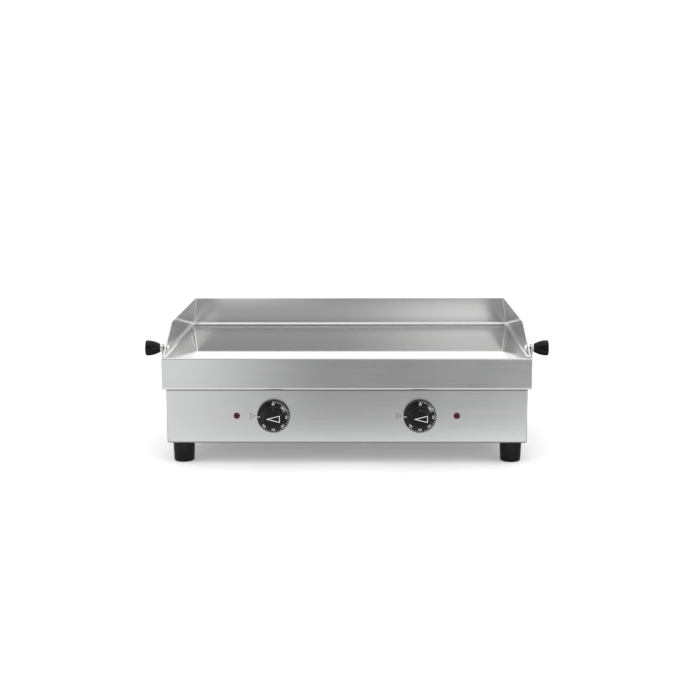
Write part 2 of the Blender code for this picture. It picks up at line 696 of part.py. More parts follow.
def add_top(tilt):
    add_part("cooking_plate", cooking_plate(), "polished_steel", tilt)
    add_part("splash_guard", splash_guard(), "polished_steel", tilt)
    add_part("skirt", skirt(), "brushed_steel", tilt)
    for name, side in SIDES.items():
        add_part(f"handle_ferrule_{name}", handle_ferrule(side), "polished_steel", tilt)
        add_part(f"handle_knob_{name}", handle_knob(side), "black_gloss", tilt)
        add_part(f"handle_stud_{name}", handle_stud(side), "plain_steel", tilt)
        add_part(f"handle_nut_{name}", handle_nut(side), "polished_steel", tilt)
        add_part(f"heating_element_{name}", heating_element(side), "dark_tube", tilt)
        add_part(f"sensor_bulb_{name}", sensor_bulb(side), "plain_steel", tilt)
        add_part(f"hinge_top_leaf_{name}", hinge_top_leaf(side), "plain_steel", tilt)
        for place, y in CLAMP_YS.items():
            add_part(f"clamp_bar_{name}_{place}", clamp_bar(side, y), "plain_steel", tilt)
            add_part(f"clamp_nut_{name}_{place}", clamp_nut(side, y), "plain_steel", tilt)
    add_part("insulation_mat", insulation_mat(), "fibre_mat", tilt)
    add_part("heat_shield", heat_shield(), "plain_steel", tilt)
    for name, place in SPACERS.items():
        add_part(f"shield_screw_{name}", shield_screw(place), "plain_steel", tilt)


def add_base():
    add_part("base_housing", base_housing(), "brushed_steel")
    add_part("rear_panel", rear_panel(), "brushed_steel")
    add_part("bottom_panel", bottom_panel(), "plain_steel")
    for name, place in FEET.items():
        add_part(f"foot_{name}", foot(*place), "black_rubber")
        add_part(f"foot_screw_{name}", foot_screw(place), "plain_steel")
    add_part("terminal_block", terminal_block(), "white_insulator")
    add_part("cable_gland", cable_gland(), "grey_nylon")
    add_part("gland_nut", gland_nut(), "grey_nylon")
    for name, side in SIDES.items():
        add_part(f"thermostat_{name}", thermostat(side), "white_insulator")
        add_part(f"pilot_lens_{name}", pilot_lens(side), "red_lens")
        add_part(f"pilot_clip_{name}", pilot_clip(side), "plain_steel")
        add_part(f"hinge_base_leaf_{name}", hinge_base_leaf(side), "plain_steel")
        add_part(f"hinge_pin_{name}", hinge_pin(side), "plain_steel")


def add_controls():
    for name, side in SIDES.items():
        turn = add_axis(f"dial_{name}_axis", (side * DIAL_X, BASE_FRONT, CONTROL_Z))
        add_part(f"dial_{name}", dial(side), "black_gloss", turn)
        add_part(f"spindle_{name}", spindle(side), "plain_steel", turn)


def build():
    for obj in list(bpy.data.objects):
        bpy.data.objects.remove(obj, do_unlink=True)
    add_top(add_axis("top_tilt_axis", (0, AXIS_Y, AXIS_Z)))
    add_base()
    add_controls()


build()
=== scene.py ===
"""Looks of the electric two-zone flat top griddle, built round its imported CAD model. Metres, +Z up."""

from math import atan2, cos, pi, radians, sin, tan

import bmesh
import bpy
from mathutils import Matrix, Vector


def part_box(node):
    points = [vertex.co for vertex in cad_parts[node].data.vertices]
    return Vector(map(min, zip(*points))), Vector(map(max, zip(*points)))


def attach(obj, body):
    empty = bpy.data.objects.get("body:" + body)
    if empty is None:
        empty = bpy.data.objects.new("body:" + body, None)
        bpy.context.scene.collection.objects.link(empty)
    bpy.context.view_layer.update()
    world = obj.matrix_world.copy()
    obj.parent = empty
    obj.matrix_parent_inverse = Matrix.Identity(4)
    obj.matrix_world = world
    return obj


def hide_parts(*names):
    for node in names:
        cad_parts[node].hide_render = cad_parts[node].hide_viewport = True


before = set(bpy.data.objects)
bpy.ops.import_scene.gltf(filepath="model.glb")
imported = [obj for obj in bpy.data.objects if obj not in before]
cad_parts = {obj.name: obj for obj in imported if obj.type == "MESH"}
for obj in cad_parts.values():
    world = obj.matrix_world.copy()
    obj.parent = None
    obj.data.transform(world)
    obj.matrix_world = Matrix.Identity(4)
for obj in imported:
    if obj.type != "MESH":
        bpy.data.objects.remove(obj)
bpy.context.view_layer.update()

SIDES = {"left": -1, "right": 1}
ENDS = ("front", "rear")
CORNERS = ("front_left", "front_right", "rear_left", "rear_right")

# Places read from the CAD model
SKIRT_LOW, SKIRT_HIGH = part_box("skirt")
PLATE_LOW, PLATE_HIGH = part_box("cooking_plate")
GUARD_LOW, GUARD_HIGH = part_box("splash_guard")
BASE_LOW, BASE_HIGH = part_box("base_housing")
PANEL_LOW, PANEL_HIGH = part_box("rear_panel")
PLATE_TOP = PLATE_HIGH.z

# Cooking top
BRACKET_STANDS = 0.0020  # how far a handle bracket stands out from the skirt's side
BRACKET_THICKNESS = 0.0028
BRACKET_HALF = 0.0085
BRACKET_LAP = 0.0140  # how far a bracket laps down the skirt's side
SKIRT_HALF = SKIRT_HIGH.x - BRACKET_STANDS
SKIRT_SHEET = 0.0015
SKIRT_CORNER = 0.0022
SIDE_LEDGE = 0.0021
REAR_LEDGE = 0.0092
FRONT_ROLL = 0.0030  # radius of the rolled front edge
HEM_RADIUS = 0.0020  # half the thickness of the folded hem
HEM_HEIGHT = 0.0034  # height over which the fold rounds under
HEM_DEPTH = 0.0100
GUARD_SHEET = 0.0025
GUARD_FILLET = 0.0060
GUARD_TOE = 0.0020  # height of the step where the fillet ends above the plate
GUARD_LEAN = 0.0077  # how far each side guard leans inwards over its height
GUARD_CORNER = 0.0060
SLANT_RUN = 0.0650  # length over which the side guards rise to full height
SLANT_FOOT = 0.0019
STUD_HOLE = 0.0035
PLATE_THICKNESS = 0.0060
LAP = 0.0008  # overlap that closes the joint between plate and guard
CLAMP_STUD = 0.0025
SPACER, SPACER_BORE = 0.0045, 0.0023
REAR_DULL_AND_SHADE = 0.1300  # depth along the rear wall over which the plate's polish fades and its colour is darkened as painted shade
# depth along each side wall for the same fading polish and painted shade
SIDE_DULL_AND_SHADE = 0.0300

# Handles and heating parts
KNOB_NECK, KNOB_BORE, KNOB_BORE_DEPTH = 0.0074, 0.0033, 0.0160
FERRULE_BORE = 0.0034
HANDLE_NUT_FLATS, CLAMP_NUT_FLATS, GLAND_NUT_FLATS = 0.0095, 0.0080, 0.0216
CLAMP_NUT_BORE, GLAND_NUT_BORE = 0.0028, 0.0080
ELEMENT_REAR_TURN = 0.1050  # y of the rear bend's centre

# Base
BASE_SHEET = 0.0012
BASE_CORNER = 0.0035
BASE_BEND = 0.0035  # radius of the fold along the foot of the base
BASE_FLANGE = 0.0110
SKIRT_SHADOW_STRIP = (SKIRT_LOW.z - 0.0042, SKIRT_LOW.z)  # heights of the strip on the base under the skirt that is darkened as painted shadow
VENT_XS = [-0.080 + 0.020 * k for k in range(9)]
VENT_LOW, VENT_HIGH, VENT_RADIUS = 0.060, 0.090, 0.002
GLAND_HOLE = 0.0083
REAR_SCREW_XS = (-0.318, -0.106, 0.106, 0.318)
SIDE_SCREW_ZS = (0.062, 0.128)
FOOT_BORE, FOOT_HOLLOW, FOOT_TREAD = 0.0032, 0.0084, 0.0190
FOOT_WEB = 0.0100  # height of the hollow's ceiling above the floor

# Controls
DIAL_SLOPE = ((0.0293, 0.0096), (0.0202, 0.0121))  # the printed cone: radius and distance from the panel
DIAL_GRIP = 0.0185
DIAL_STANDOFF = 0.0050
SPINDLE_BORE = 0.0033
SCALE = ("50", "100", "150", "200", "250", "300")
SCALE_STEP = 45  # degrees from one number to the next
TICKS_PER_STEP = 5
NUMBER_RADIUS, TICK_RADIUS, OFF_RADIUS, OFF_ANGLE = 0.0240, 0.0281, 0.0272, 270

# Hinges
MIDDLE_KNUCKLE, OUTER_KNUCKLE = 0.0145, 0.0150  # half the middle knuckle, and where the outer ones begin
KNUCKLE_RADIUS, KNUCKLE_BORE = 0.0050, 0.0028
LEAF_SHEET = 0.0020
LEAF_EASE = 0.0040
RIVET_RADIUS, RIVET_HEIGHT, RIVET_OFFSET = 0.0038, 0.0014, 0.018
PIN_RADIUS, PIN_HEAD = 0.0025, 0.0040


# ---- Mesh tools ----


def measured(node):
    """A node's lowest and highest corners, and its middle."""
    low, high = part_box(node)
    return low, high, (low + high) / 2


def middle(node):
    return measured(node)[2]


def sideways(node, side):
    """For a node along x: the middle of its inner end, its length, and half its height."""
    low, high, spot = measured(node)
    start = (side * min(abs(low.x), abs(high.x)), spot.y, spot.z)
    return start, high.x - low.x, (high.z - low.z) / 2


def turns(count):
    return [2 * pi * i / count for i in range(count)]


def turned_to(axis):
    """The rotation that takes +z to the axis."""
    return Vector((0, 0, 1)).rotation_difference(Vector(axis)).to_matrix()


def arc(centre, radius, start, end, steps):
    """Points on an arc from start to end degrees."""
    spots = [radians(start + (end - start) * i / steps) for i in range(steps + 1)]
    return [(centre[0] + radius * cos(a), centre[1] + radius * sin(a)) for a in spots]


def eased(outline, steps=5):
    """Rounds the corners of an open outline. Each point is (u, v) or (u, v, corner radius)."""
    points = [Vector(p[:2]) for p in outline]
    result = [tuple(points[0])]
    for i in range(1, len(outline) - 1):
        radius = outline[i][2] if len(outline[i]) > 2 else 0
        before, here, after = points[i - 1], points[i], points[i + 1]
        back, on = (before - here), (after - here)
        reach = min(radius, 0.45 * back.length, 0.45 * on.length)
        if reach <= 0:
            result.append(tuple(here))
            continue
        start, end = here + reach * back.normalized(), here + reach * on.normalized()
        for k in range(steps + 1):
            t = k / steps
            result.append(tuple((1 - t) ** 2 * start + 2 * t * (1 - t) * here + t**2 * end))
    result.append(tuple(points[-1]))
    return result


def bridge(bm, a, b, closed=True):
    """Joins two loops of equal length, or a loop to a pole."""
    count = max(len(a), len(b))
    for i in range(count if closed else count - 1):
        j = (i + 1) % count
        corners = [a[i % len(a)], a[j % len(a)], b[j % len(b)], b[i % len(b)]]
        unique = list(dict.fromkeys(corners))
        if len(unique) > 2:
            bm.faces.new(unique)


def loft(bm, loops, ring=False, caps=False):
    """Skins a row of closed loops. A ring joins the last loop to the first."""
    rows = [[bm.verts.new(p) for p in loop] for loop in loops]
    pairs = list(zip(rows, rows[1:]))
    if ring:
        pairs.append((rows[-1], rows[0]))
    for a, b in pairs:
        bridge(bm, a, b)
    if caps:
        for row in (rows[0], rows[-1]):
            if len(row) > 2:
                bm.faces.new(row)
    return bm


def wrapped_sheet(paths):
    """Skins a ring of open paths and closes both its ends: a folded sheet with two cut edges."""
    bm = bmesh.new()
    rows = [[bm.verts.new(p) for p in path] for path in paths]
    for a, b in zip(rows, rows[1:] + rows[:1]):
        bridge(bm, a, b, closed=False)
    for end in (0, -1):
        bm.faces.new([row[end] for row in rows])
    return bm


def turned(bm, profile, origin, axis, segments=64, ring=False):
    """Spins (radius, distance) points about the axis. A ring's profile closes on itself."""
    turn = turned_to(axis)
    loops = []
    for radius, distance in profile:
        spots = turns(segments if radius > 1e-7 else 1)
        places = [Vector((radius * cos(a), radius * sin(a), distance)) for a in spots]
        loops.append([Vector(origin) + turn @ p for p in places])
    return loft(bm, loops, ring=ring, caps=not ring)


def prism(bm, outline, low, high, axis):
    """Extrudes a flat outline from low to high: (x, y) along z, (y, z) along x, (x, z) along y."""
    places = {
        "x": lambda u, v, w: (w, u, v),
        "y": lambda u, v, w: (u, w, v),
        "z": lambda u, v, w: (u, v, w),
    }
    return loft(bm, [[places[axis](u, v, w) for u, v in outline] for w in (low, high)], caps=True)


def block(bm, low, high):
    outline = [(low[0], low[1]), (high[0], low[1]), (high[0], high[1]), (low[0], high[1])]
    return prism(bm, outline, low[2], high[2], "z")


def placed_bar(bm, matrix, half_x, half_y, low, high):
    """A bar centred on the matrix's z axis, from low to high along it."""
    flat = ((-half_x, -half_y), (half_x, -half_y), (half_x, half_y), (-half_x, half_y))
    return loft(bm, [[matrix @ Vector((*spot, z)) for spot in flat] for z in (low, high)], caps=True)


def hexagon(bm, across, bore, origin, axis, height, chamfer=0.0006):
    """A hex nut with turned chamfers: its six sides are cut back to a cone at both ends."""
    turn, spots, flat = turned_to(axis), turns(72), across / 2

    def ring_of(reach_at, level):
        flats = [Vector((reach_at(a) * cos(a), reach_at(a) * sin(a), level)) for a in spots]
        return [Vector(origin) + turn @ p for p in flats]

    def side_at(ease):
        """The distance to the side at an angle, limited by the chamfer's cone."""
        limit = flat / cos(pi / 6) - 2.2 * ease
        return lambda angle: min(flat / cos((angle + pi / 6) % (pi / 3) - pi / 6), limit)

    levels = ((0, chamfer), (chamfer, 0), (height - chamfer, 0), (height, chamfer))
    loops = [ring_of(side_at(ease), level) for level, ease in levels]
    loops += [ring_of(lambda angle: bore, level) for level in (height, 0)]
    return loft(bm, loops, ring=True)


def threaded_rod(bm, radius, origin, axis, length, pitch=0.0008):
    """A rod with a turned groove for each thread and chamfered ends."""
    root, tip = 0.82 * radius, 0.7 * radius
    outline = [(0, 0), (tip, 0), (root, 0.0004)]
    at = 0.0006
    while at + pitch < length - 0.0004:
        outline += [(root, at), (radius, at + 0.35 * pitch), (radius, at + 0.6 * pitch)]
        at += pitch
    outline += [(root, length - 0.0003), (tip, length), (0, length)]
    return turned(bm, outline, origin, axis, 24)


def rounded_loop(half, front, rear, radius, z, steps=6):
    """A level closed rectangle with rounded corners, from the front left corner round."""
    r = max(radius, 0.0002)
    corners = (
        ((-half + r, front + r), 180),
        ((half - r, front + r), 270),
        ((half - r, rear - r), 0),
        ((-half + r, rear - r), 90),
    )
    return [(x, y, z) for centre, start in corners for x, y in arc(centre, r, start, start + 90, steps)]


def wrap_path(half, near, far, radius, z, steps=8):
    """A level open path round three sides: near is the y of both ends, far the y of the cross side."""
    r = max(radius, 0.0004)
    away = 1 if far > near else -1
    left = [(-x, y) for x, y in arc((half - r, far - away * r), r, 0, 90 * away, steps)]
    right = [(-x, y) for x, y in reversed(left)]
    return [(x, y, z) for x, y in [(-half, near), *left, *right, (half, near)]]


def object_of(bm, name):
    """Welds and cleans a mesh, faces it outwards and puts it in the scene."""
    bmesh.ops.remove_doubles(bm, verts=bm.verts, dist=1e-6)
    bmesh.ops.dissolve_degenerate(bm, edges=bm.edges, dist=1e-7)
    bmesh.ops.recalc_face_normals(bm, faces=bm.faces)
    mesh = bpy.data.meshes.new(name)
    bm.to_mesh(mesh)
    bm.free()
    obj = bpy.data.objects.new(name, mesh)
    bpy.context.scene.collection.objects.link(obj)
    return obj


def applied_mesh(obj):
    return bpy.data.meshes.new_from_object(obj.evaluated_get(bpy.context.evaluated_depsgraph_get()))


def subtract(target, cutter):
    """Cuts one object out of another and applies the result."""
    modifier = target.modifiers.new("cut", "BOOLEAN")
    modifier.operation = "DIFFERENCE"
    modifier.object = cutter
    mesh = applied_mesh(target)
    target.modifiers.clear()
    target.data = mesh
    bpy.data.objects.remove(cutter)


def bevel(obj, width):
    modifier = obj.modifiers.new("bevel", "BEVEL")
    modifier.width = width
    modifier.segments = 2
    modifier.limit_method = "ANGLE"
    modifier.angle_limit = radians(35)


def even_normals(obj):
    """Keeps wide flat faces flat in shading, so that only the folds beside them turn."""
    modifier = obj.modifiers.new("normals", "WEIGHTED_NORMAL")
    modifier.mode = "FACE_AREA"
    modifier.weight = 100
    modifier.keep_sharp = True


def finish(obj, material, body, node=None, edge=0, sharp=30):
    """Shades a piece and sets it on its body, in place of a CAD node or, beside them."""
    obj.data.shade_smooth()
    obj.data.set_sharp_from_angle(angle=radians(sharp))
    obj.data.materials.append(material)
    if edge:
        bevel(obj, edge)
    even_normals(obj)
    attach(obj, body)
    if node:
        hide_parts(node)


def finish_turned(name, outline, place, axis, segments, material, body, node=None, ring=False):
    """Spins an outline into a finished piece."""
    obj = object_of(turned(bmesh.new(), outline, place, axis, segments, ring), name)
    finish(obj, material, body, node)


def finish_nut(name, across, bore, place, axis, height, material, body, node, chamfer=0.0006):
    nut = hexagon(bmesh.new(), across, bore, place, axis, height, chamfer)
    finish(object_of(nut, name), material, body, node)


# ---- Materials ----


class Nodes:
    """A material's node tree, with short calls to add and join nodes."""

    def __init__(self, name, glows=False):
        self.material = bpy.data.materials.new(name)
        self.material.use_nodes = True
        self.tree = self.material.node_tree
        if glows:
            self.tree.nodes.clear()
            self.shader = self.add("ShaderNodeEmission")
            self.join(self.shader.outputs[0], self.add("ShaderNodeOutputMaterial").inputs[0])
        else:
            self.shader = self.tree.nodes["Principled BSDF"]

    def add(self, kind, **settings):
        node = self.tree.nodes.new(kind)
        for key, value in settings.items():
            setattr(node, key, value)
        return node

    def join(self, source, target):
        self.tree.links.new(source, target)

    def feed(self, sockets, values):
        """Sets each socket to its number, or joins it to its source."""
        for socket, value in zip(sockets, values):
            if isinstance(value, (int, float)):
                socket.default_value = value
            else:
                self.join(value, socket)

    def set(self, **values):
        for key, value in values.items():
            self.shader.inputs[key.replace("_", " ")].default_value = value

    def math(self, operation, *values):
        node = self.add("ShaderNodeMath", operation=operation)
        self.feed(node.inputs, values)
        return node.outputs[0]

    def blend(self, factor, a, b):
        node = self.add("ShaderNodeMix", data_type="FLOAT")
        self.feed((node.inputs[0], node.inputs[2], node.inputs[3]), (factor, a, b))
        return node.outputs[0]

    def map_range(self, value, start, end, before, after, curve="LINEAR"):
        """Runs from before to after as the value goes from start to end."""
        node = self.add("ShaderNodeMapRange", interpolation_type=curve)
        names = ("Value", "From Min", "From Max", "To Min", "To Max")
        self.feed([node.inputs[name] for name in names], (value, start, end, before, after))
        return node.outputs["Result"]

    def spread(self, value, low, high):
        """Maps a noise value, which mostly lies between 0.3 and 0.7, onto low to high."""
        return self.map_range(value, 0.3, 0.7, low, high)

    def coordinate(self, axis):
        """One object coordinate."""
        split = self.add("ShaderNodeSeparateXYZ")
        self.join(self.add("ShaderNodeTexCoord").outputs["Object"], split.inputs[0])
        return split.outputs[axis]

    def ramp(self, axis, start, end, low, high):
        """Runs smoothly from low to high as an object coordinate goes from start to end."""
        return self.map_range(self.coordinate(axis), start, end, low, high, "SMOOTHSTEP")

    def follow(self, axis, stops):
        """Follows (place, level) stops along an object coordinate."""
        start, end = stops[0][0], stops[-1][0]
        most = max(level for _, level in stops)
        curve = self.add("ShaderNodeValToRGB")
        bar = curve.color_ramp
        while len(bar.elements) < len(stops):
            bar.elements.new(0.5)
        for element, (place, level) in zip(bar.elements, stops):
            element.position = (place - start) / (end - start)
            element.color = (level / most,) * 3 + (1,)
        along = self.math("SUBTRACT", self.coordinate(axis), start)
        self.join(self.math("DIVIDE", along, end - start), curve.inputs[0])
        return self.math("MULTIPLY", curve.outputs[0], most)

    def noise(self, stretch, detail=3.0, roughness=0.6):
        """Noise over object coordinates, stretched along each axis."""
        mapping = self.add("ShaderNodeMapping")
        mapping.inputs["Scale"].default_value = stretch
        self.join(self.add("ShaderNodeTexCoord").outputs["Object"], mapping.inputs["Vector"])
        node = self.add("ShaderNodeTexNoise")
        node.inputs["Scale"].default_value = 1.0
        node.inputs["Detail"].default_value = detail
        node.inputs["Roughness"].default_value = roughness
        self.join(mapping.outputs["Vector"], node.inputs["Vector"])
        return node.outputs["Fac"]

    def roughen(self, value):
        self.join(value, self.shader.inputs["Roughness"])

    def tint(self, value, dark, light):
        """The base colour runs from dark to light with the value."""
        node = self.add("ShaderNodeMix", data_type="RGBA")
        node.inputs[6].default_value = (*dark, 1.0)
        node.inputs[7].default_value = (*light, 1.0)
        self.join(value, node.inputs[0])
        self.join(node.outputs[2], self.shader.inputs["Base Color"])

    def vary(self, value, grey, low, high):
        """The base colour runs from low to high times a grey with the value."""
        self.tint(value, [c * low for c in grey], [min(1.0, c * high) for c in grey])

    def darken(self, share):
        """Multiplies the base colour by a share that varies over the surface."""
        colour = self.shader.inputs["Base Color"].links[0].from_socket
        product = self.add("ShaderNodeVectorMath", operation="SCALE")
        self.join(colour, product.inputs[0])
        self.join(share, product.inputs["Scale"])
        self.join(product.outputs[0], self.shader.inputs["Base Color"])

    def darken_strip(self, low, high, share=0.50, fade=0.0014):
        """Multiplies the base colour by a share between two heights."""
        height = self.coordinate("Z")
        below = self.map_range(height, low, low + fade, 1.0, share)
        above = self.map_range(height, high, high + fade, share, 1.0)
        self.darken(self.math("MAXIMUM", below, above))

    def bump(self, height, distance):
        node = self.add("ShaderNodeBump")
        node.inputs["Strength"].default_value = 1.0
        node.inputs["Distance"].default_value = distance
        self.join(height, node.inputs["Height"])
        self.join(node.outputs["Normal"], self.shader.inputs["Normal"])


def sideways_share(nodes):
    """1 on faces that look along x, 0 on the others."""
    split = nodes.add("ShaderNodeSeparateXYZ")
    nodes.join(nodes.add("ShaderNodeNewGeometry").outputs["Normal"], split.inputs[0])
    return nodes.math("GREATER_THAN", nodes.math("ABSOLUTE", split.outputs["X"]), 0.7)


def brushed_steel(name, grey, roughness, grain=0.06, anisotropy=0.55, depth=0.000006, shadow_strip=None):
    """Satin stainless steel. The grain runs sideways across the front and from front to rear on the sides.

    Its last argument is a pair of heights between which the colour is darkened as painted shadow.
    """
    nodes = Nodes(name)
    across = nodes.noise((6, 1300, 1300), 4.0, 0.7)
    along = nodes.noise((1300, 6, 1300), 4.0, 0.7)
    streak = nodes.blend(sideways_share(nodes), across, along)
    cloud = nodes.spread(nodes.noise((9, 9, 9), 2.0), -grain / 4, grain / 4)
    smudge = nodes.spread(nodes.noise((45, 45, 60)), -grain / 8, grain / 8)
    rough = nodes.spread(streak, roughness - grain / 2, roughness + grain / 2)
    nodes.roughen(nodes.math("ADD", rough, nodes.math("ADD", cloud, smudge)))
    nodes.vary(streak, grey, 0.89, 1.09)
    # Painted shadow: the base's colour is darkened in a strip just under the skirt's overhang.
    if shadow_strip:
        nodes.darken_strip(*shadow_strip)
    nodes.bump(streak, depth)
    nodes.set(Metallic=1.0, Anisotropic=anisotropy, Anisotropic_Rotation=0.25)
    tangent = nodes.add("ShaderNodeTangent", direction_type="RADIAL", axis="Z")
    nodes.join(tangent.outputs["Tangent"], nodes.shader.inputs["Tangent"])
    return nodes.material


def polished_plate(name, grey, roughness):
    """Ground and polished steel, nearly a mirror, with a fine sideways grain. Along the walls it grows
    rougher and its colour is darkened as painted shade.
    """
    nodes = Nodes(name)
    grain = nodes.noise((12, 2200, 2200))
    wiped = nodes.spread(nodes.noise((14, 30, 30)), 0.0, 0.008)
    behind = nodes.math("SUBTRACT", nodes.coordinate("Y"), PLATE_HIGH.y - REAR_DULL_AND_SHADE)
    sideways_off = nodes.math("ABSOLUTE", nodes.coordinate("X"))
    beside = nodes.math("SUBTRACT", sideways_off, PLATE_HIGH.x - SIDE_DULL_AND_SHADE)
    near = nodes.math(
        "MAXIMUM", nodes.math("DIVIDE", behind, REAR_DULL_AND_SHADE), nodes.math("DIVIDE", beside, SIDE_DULL_AND_SHADE)
    )
    share = nodes.map_range(near, 0.0, 1.0, 0.0, 1.0, "SMOOTHSTEP")
    rough = nodes.math("ADD", nodes.spread(grain, roughness * 0.7, roughness * 1.3), wiped)
    nodes.roughen(nodes.math("ADD", rough, nodes.math("MULTIPLY", share, 0.24)))
    nodes.vary(grain, grey, 0.95, 1.04)
    # Painted shade: the colour darkens by up to 55% towards the rear and side walls.
    nodes.darken(nodes.math("SUBTRACT", 1.0, nodes.math("MULTIPLY", share, 0.55)))
    nodes.bump(grain, 0.0000015)
    nodes.set(Metallic=1.0)
    return nodes.material


def plain_metal(name, grey, roughness, scale=140, depth=0.00001):
    """Mill finish or plated metal, with a fine even mottle."""
    nodes = Nodes(name)
    mottle = nodes.noise((scale,) * 3, 4.0)
    fine = nodes.noise((scale * 9,) * 3, 2.0)
    nodes.roughen(nodes.spread(mottle, roughness * 0.8, roughness * 1.2))
    nodes.vary(mottle, grey, 0.85, 1.1)
    nodes.bump(fine, depth)
    nodes.set(Metallic=1.0)
    return nodes.material


def moulded(name, dark, light, roughness, specular, scale=900, depth=0.000008):
    """Moulded plastic or rubber, with a faint surface mottle."""
    nodes = Nodes(name)
    fine = nodes.noise((scale,) * 3)
    broad = nodes.noise((60, 60, 60))
    nodes.roughen(nodes.spread(broad, roughness * 0.8, roughness * 1.25))
    nodes.tint(broad, dark, light)
    nodes.bump(fine, depth)
    nodes.set(Specular_IOR_Level=specular)
    return nodes.material


def fibre(name, dark, light):
    """A matted ceramic fibre blanket."""
    nodes = Nodes(name)
    strands = nodes.noise((260, 900, 500), 5.0, 0.75)
    lumps = nodes.noise((60, 60, 60))
    nodes.tint(strands, dark, light)
    nodes.bump(nodes.math("ADD", strands, nodes.math("MULTIPLY", lumps, 2.0)), 0.0006)
    nodes.set(Roughness=0.95, Specular_IOR_Level=0.1)
    return nodes.material


def heat_tinted(name):
    """The sheath of a heating element: dark oxide with straw-coloured patches."""
    nodes = Nodes(name)
    patches = nodes.noise((30, 30, 30), 4.0)
    scale = nodes.noise((700, 700, 700))
    nodes.tint(nodes.spread(patches, 0.0, 1.0), (0.10, 0.085, 0.075), (0.26, 0.21, 0.17))
    nodes.roughen(nodes.spread(scale, 0.38, 0.62))
    nodes.bump(scale, 0.00003)
    nodes.set(Metallic=0.85)
    return nodes.material


def lamp_lens(name):
    """Unlit red moulding, slightly uneven."""
    nodes = Nodes(name)
    depth = nodes.noise((500, 500, 500), 2.0)
    nodes.tint(depth, (0.055, 0.0016, 0.0024), (0.10, 0.004, 0.006))
    nodes.roughen(nodes.spread(depth, 0.12, 0.2))
    nodes.bump(depth, 0.00001)
    nodes.set(Specular_IOR_Level=0.2, Coat_Weight=0.1, Coat_Roughness=0.06)
    return nodes.material


def print_ink(name, colour):
    """Pad print: a thin, slightly uneven layer of ink."""
    nodes = Nodes(name)
    wear = nodes.noise((1800, 1800, 1800))
    nodes.vary(wear, colour, 0.86, 1.0)
    nodes.roughen(nodes.spread(wear, 0.4, 0.55))
    return nodes.material


STEEL = {
    "plate": polished_plate("polished_plate", (0.80, 0.80, 0.795), 0.03),
    "guard": brushed_steel("guard_steel", (0.67, 0.67, 0.668), 0.15, 0.03, 0.4, 0.000002),
    "skirt": brushed_steel("skirt_steel", (0.66, 0.665, 0.665), 0.20),
    "base": brushed_steel("base_steel", (0.68, 0.685, 0.685), 0.23, shadow_strip=SKIRT_SHADOW_STRIP),
    # The fold steel is much lighter and smoother than the skirt: a painted highlight along the hem's
    # underside.
    "fold": plain_metal("fold_painted_highlight", (0.95, 0.95, 0.945), 0.07, scale=300, depth=0.000002),
    "plain": plain_metal("mill_steel", (0.50, 0.50, 0.49), 0.38),
    "zinc": plain_metal("zinc_plate", (0.56, 0.56, 0.53), 0.30, scale=400),
    "bright": plain_metal("bright_plate", (0.78, 0.78, 0.77), 0.12, scale=500, depth=0.000003),
}
BLACK = moulded("black_phenolic", (0.0020, 0.0020, 0.0022), (0.0035, 0.0035, 0.0038), 0.13, 0.18)
DIAL_BLACK = moulded("dial_black", (0.0025, 0.0025, 0.0028), (0.005, 0.005, 0.0055), 0.12, 0.32)
RUBBER = moulded("foot_rubber", (0.003,) * 3, (0.007,) * 3, 0.34, 0.30, scale=1600, depth=0.00002)
CERAMIC = moulded("pale_insulator", (0.66, 0.65, 0.60), (0.78, 0.77, 0.72), 0.5, 0.5)
NYLON = moulded("grey_nylon", (0.030, 0.030, 0.033), (0.05, 0.05, 0.054), 0.42, 0.4)
FIBRE = fibre("ceramic_fibre", (0.52, 0.50, 0.45), (0.84, 0.82, 0.76))
SHEATH = heat_tinted("element_sheath")
LENS = lamp_lens("red_lens")
WHITE_INK = print_ink("white_ink", (0.92, 0.92, 0.92))
DARK_INK = print_ink("dark_ink", (0.07, 0.07, 0.073))


# ---- Cooking top ----


def cooking_plate():
    """The slab, run up to the skirt and the guard, with the studs and spacers on its underside."""
    bm = bmesh.new()
    half, rear, front = PLATE_HIGH.x + LAP, PLATE_HIGH.y + LAP, SKIRT_LOW.y + FRONT_ROLL
    root = PLATE_TOP - PLATE_THICKNESS
    block(bm, (-half, front, root), (half, rear, PLATE_TOP))
    for node in [f"clamp_nut_{side}_{end}" for side in SIDES for end in ENDS]:
        nut_low, _, spot = measured(node)
        tip = PLATE_LOW.z + 0.0065 if PLATE_LOW.z > nut_low.z else nut_low.z - 0.0012
        threaded_rod(bm, CLAMP_STUD, (spot.x, spot.y, tip), (0, 0, 1), root - tip)
    for corner in CORNERS:
        spot, low, ease = middle(f"shield_screw_{corner}"), PLATE_LOW.z, 0.0004
        outline = [(SPACER_BORE, low), (SPACER - ease, low), (SPACER, low + ease)]
        outline += [(SPACER, root), (SPACER_BORE, root)]
        turned(bm, outline, (spot.x, spot.y, 0), (0, 0, 1), 32, ring=True)
    finish(object_of(bm, "cooking_plate_top"), STEEL["plate"], "griddle_top", "cooking_plate")


def guard_inset(z):
    """How far a side guard leans in at this height."""
    return GUARD_LEAN * max(0.0, z - PLATE_TOP) / (GUARD_HIGH.z - PLATE_TOP)


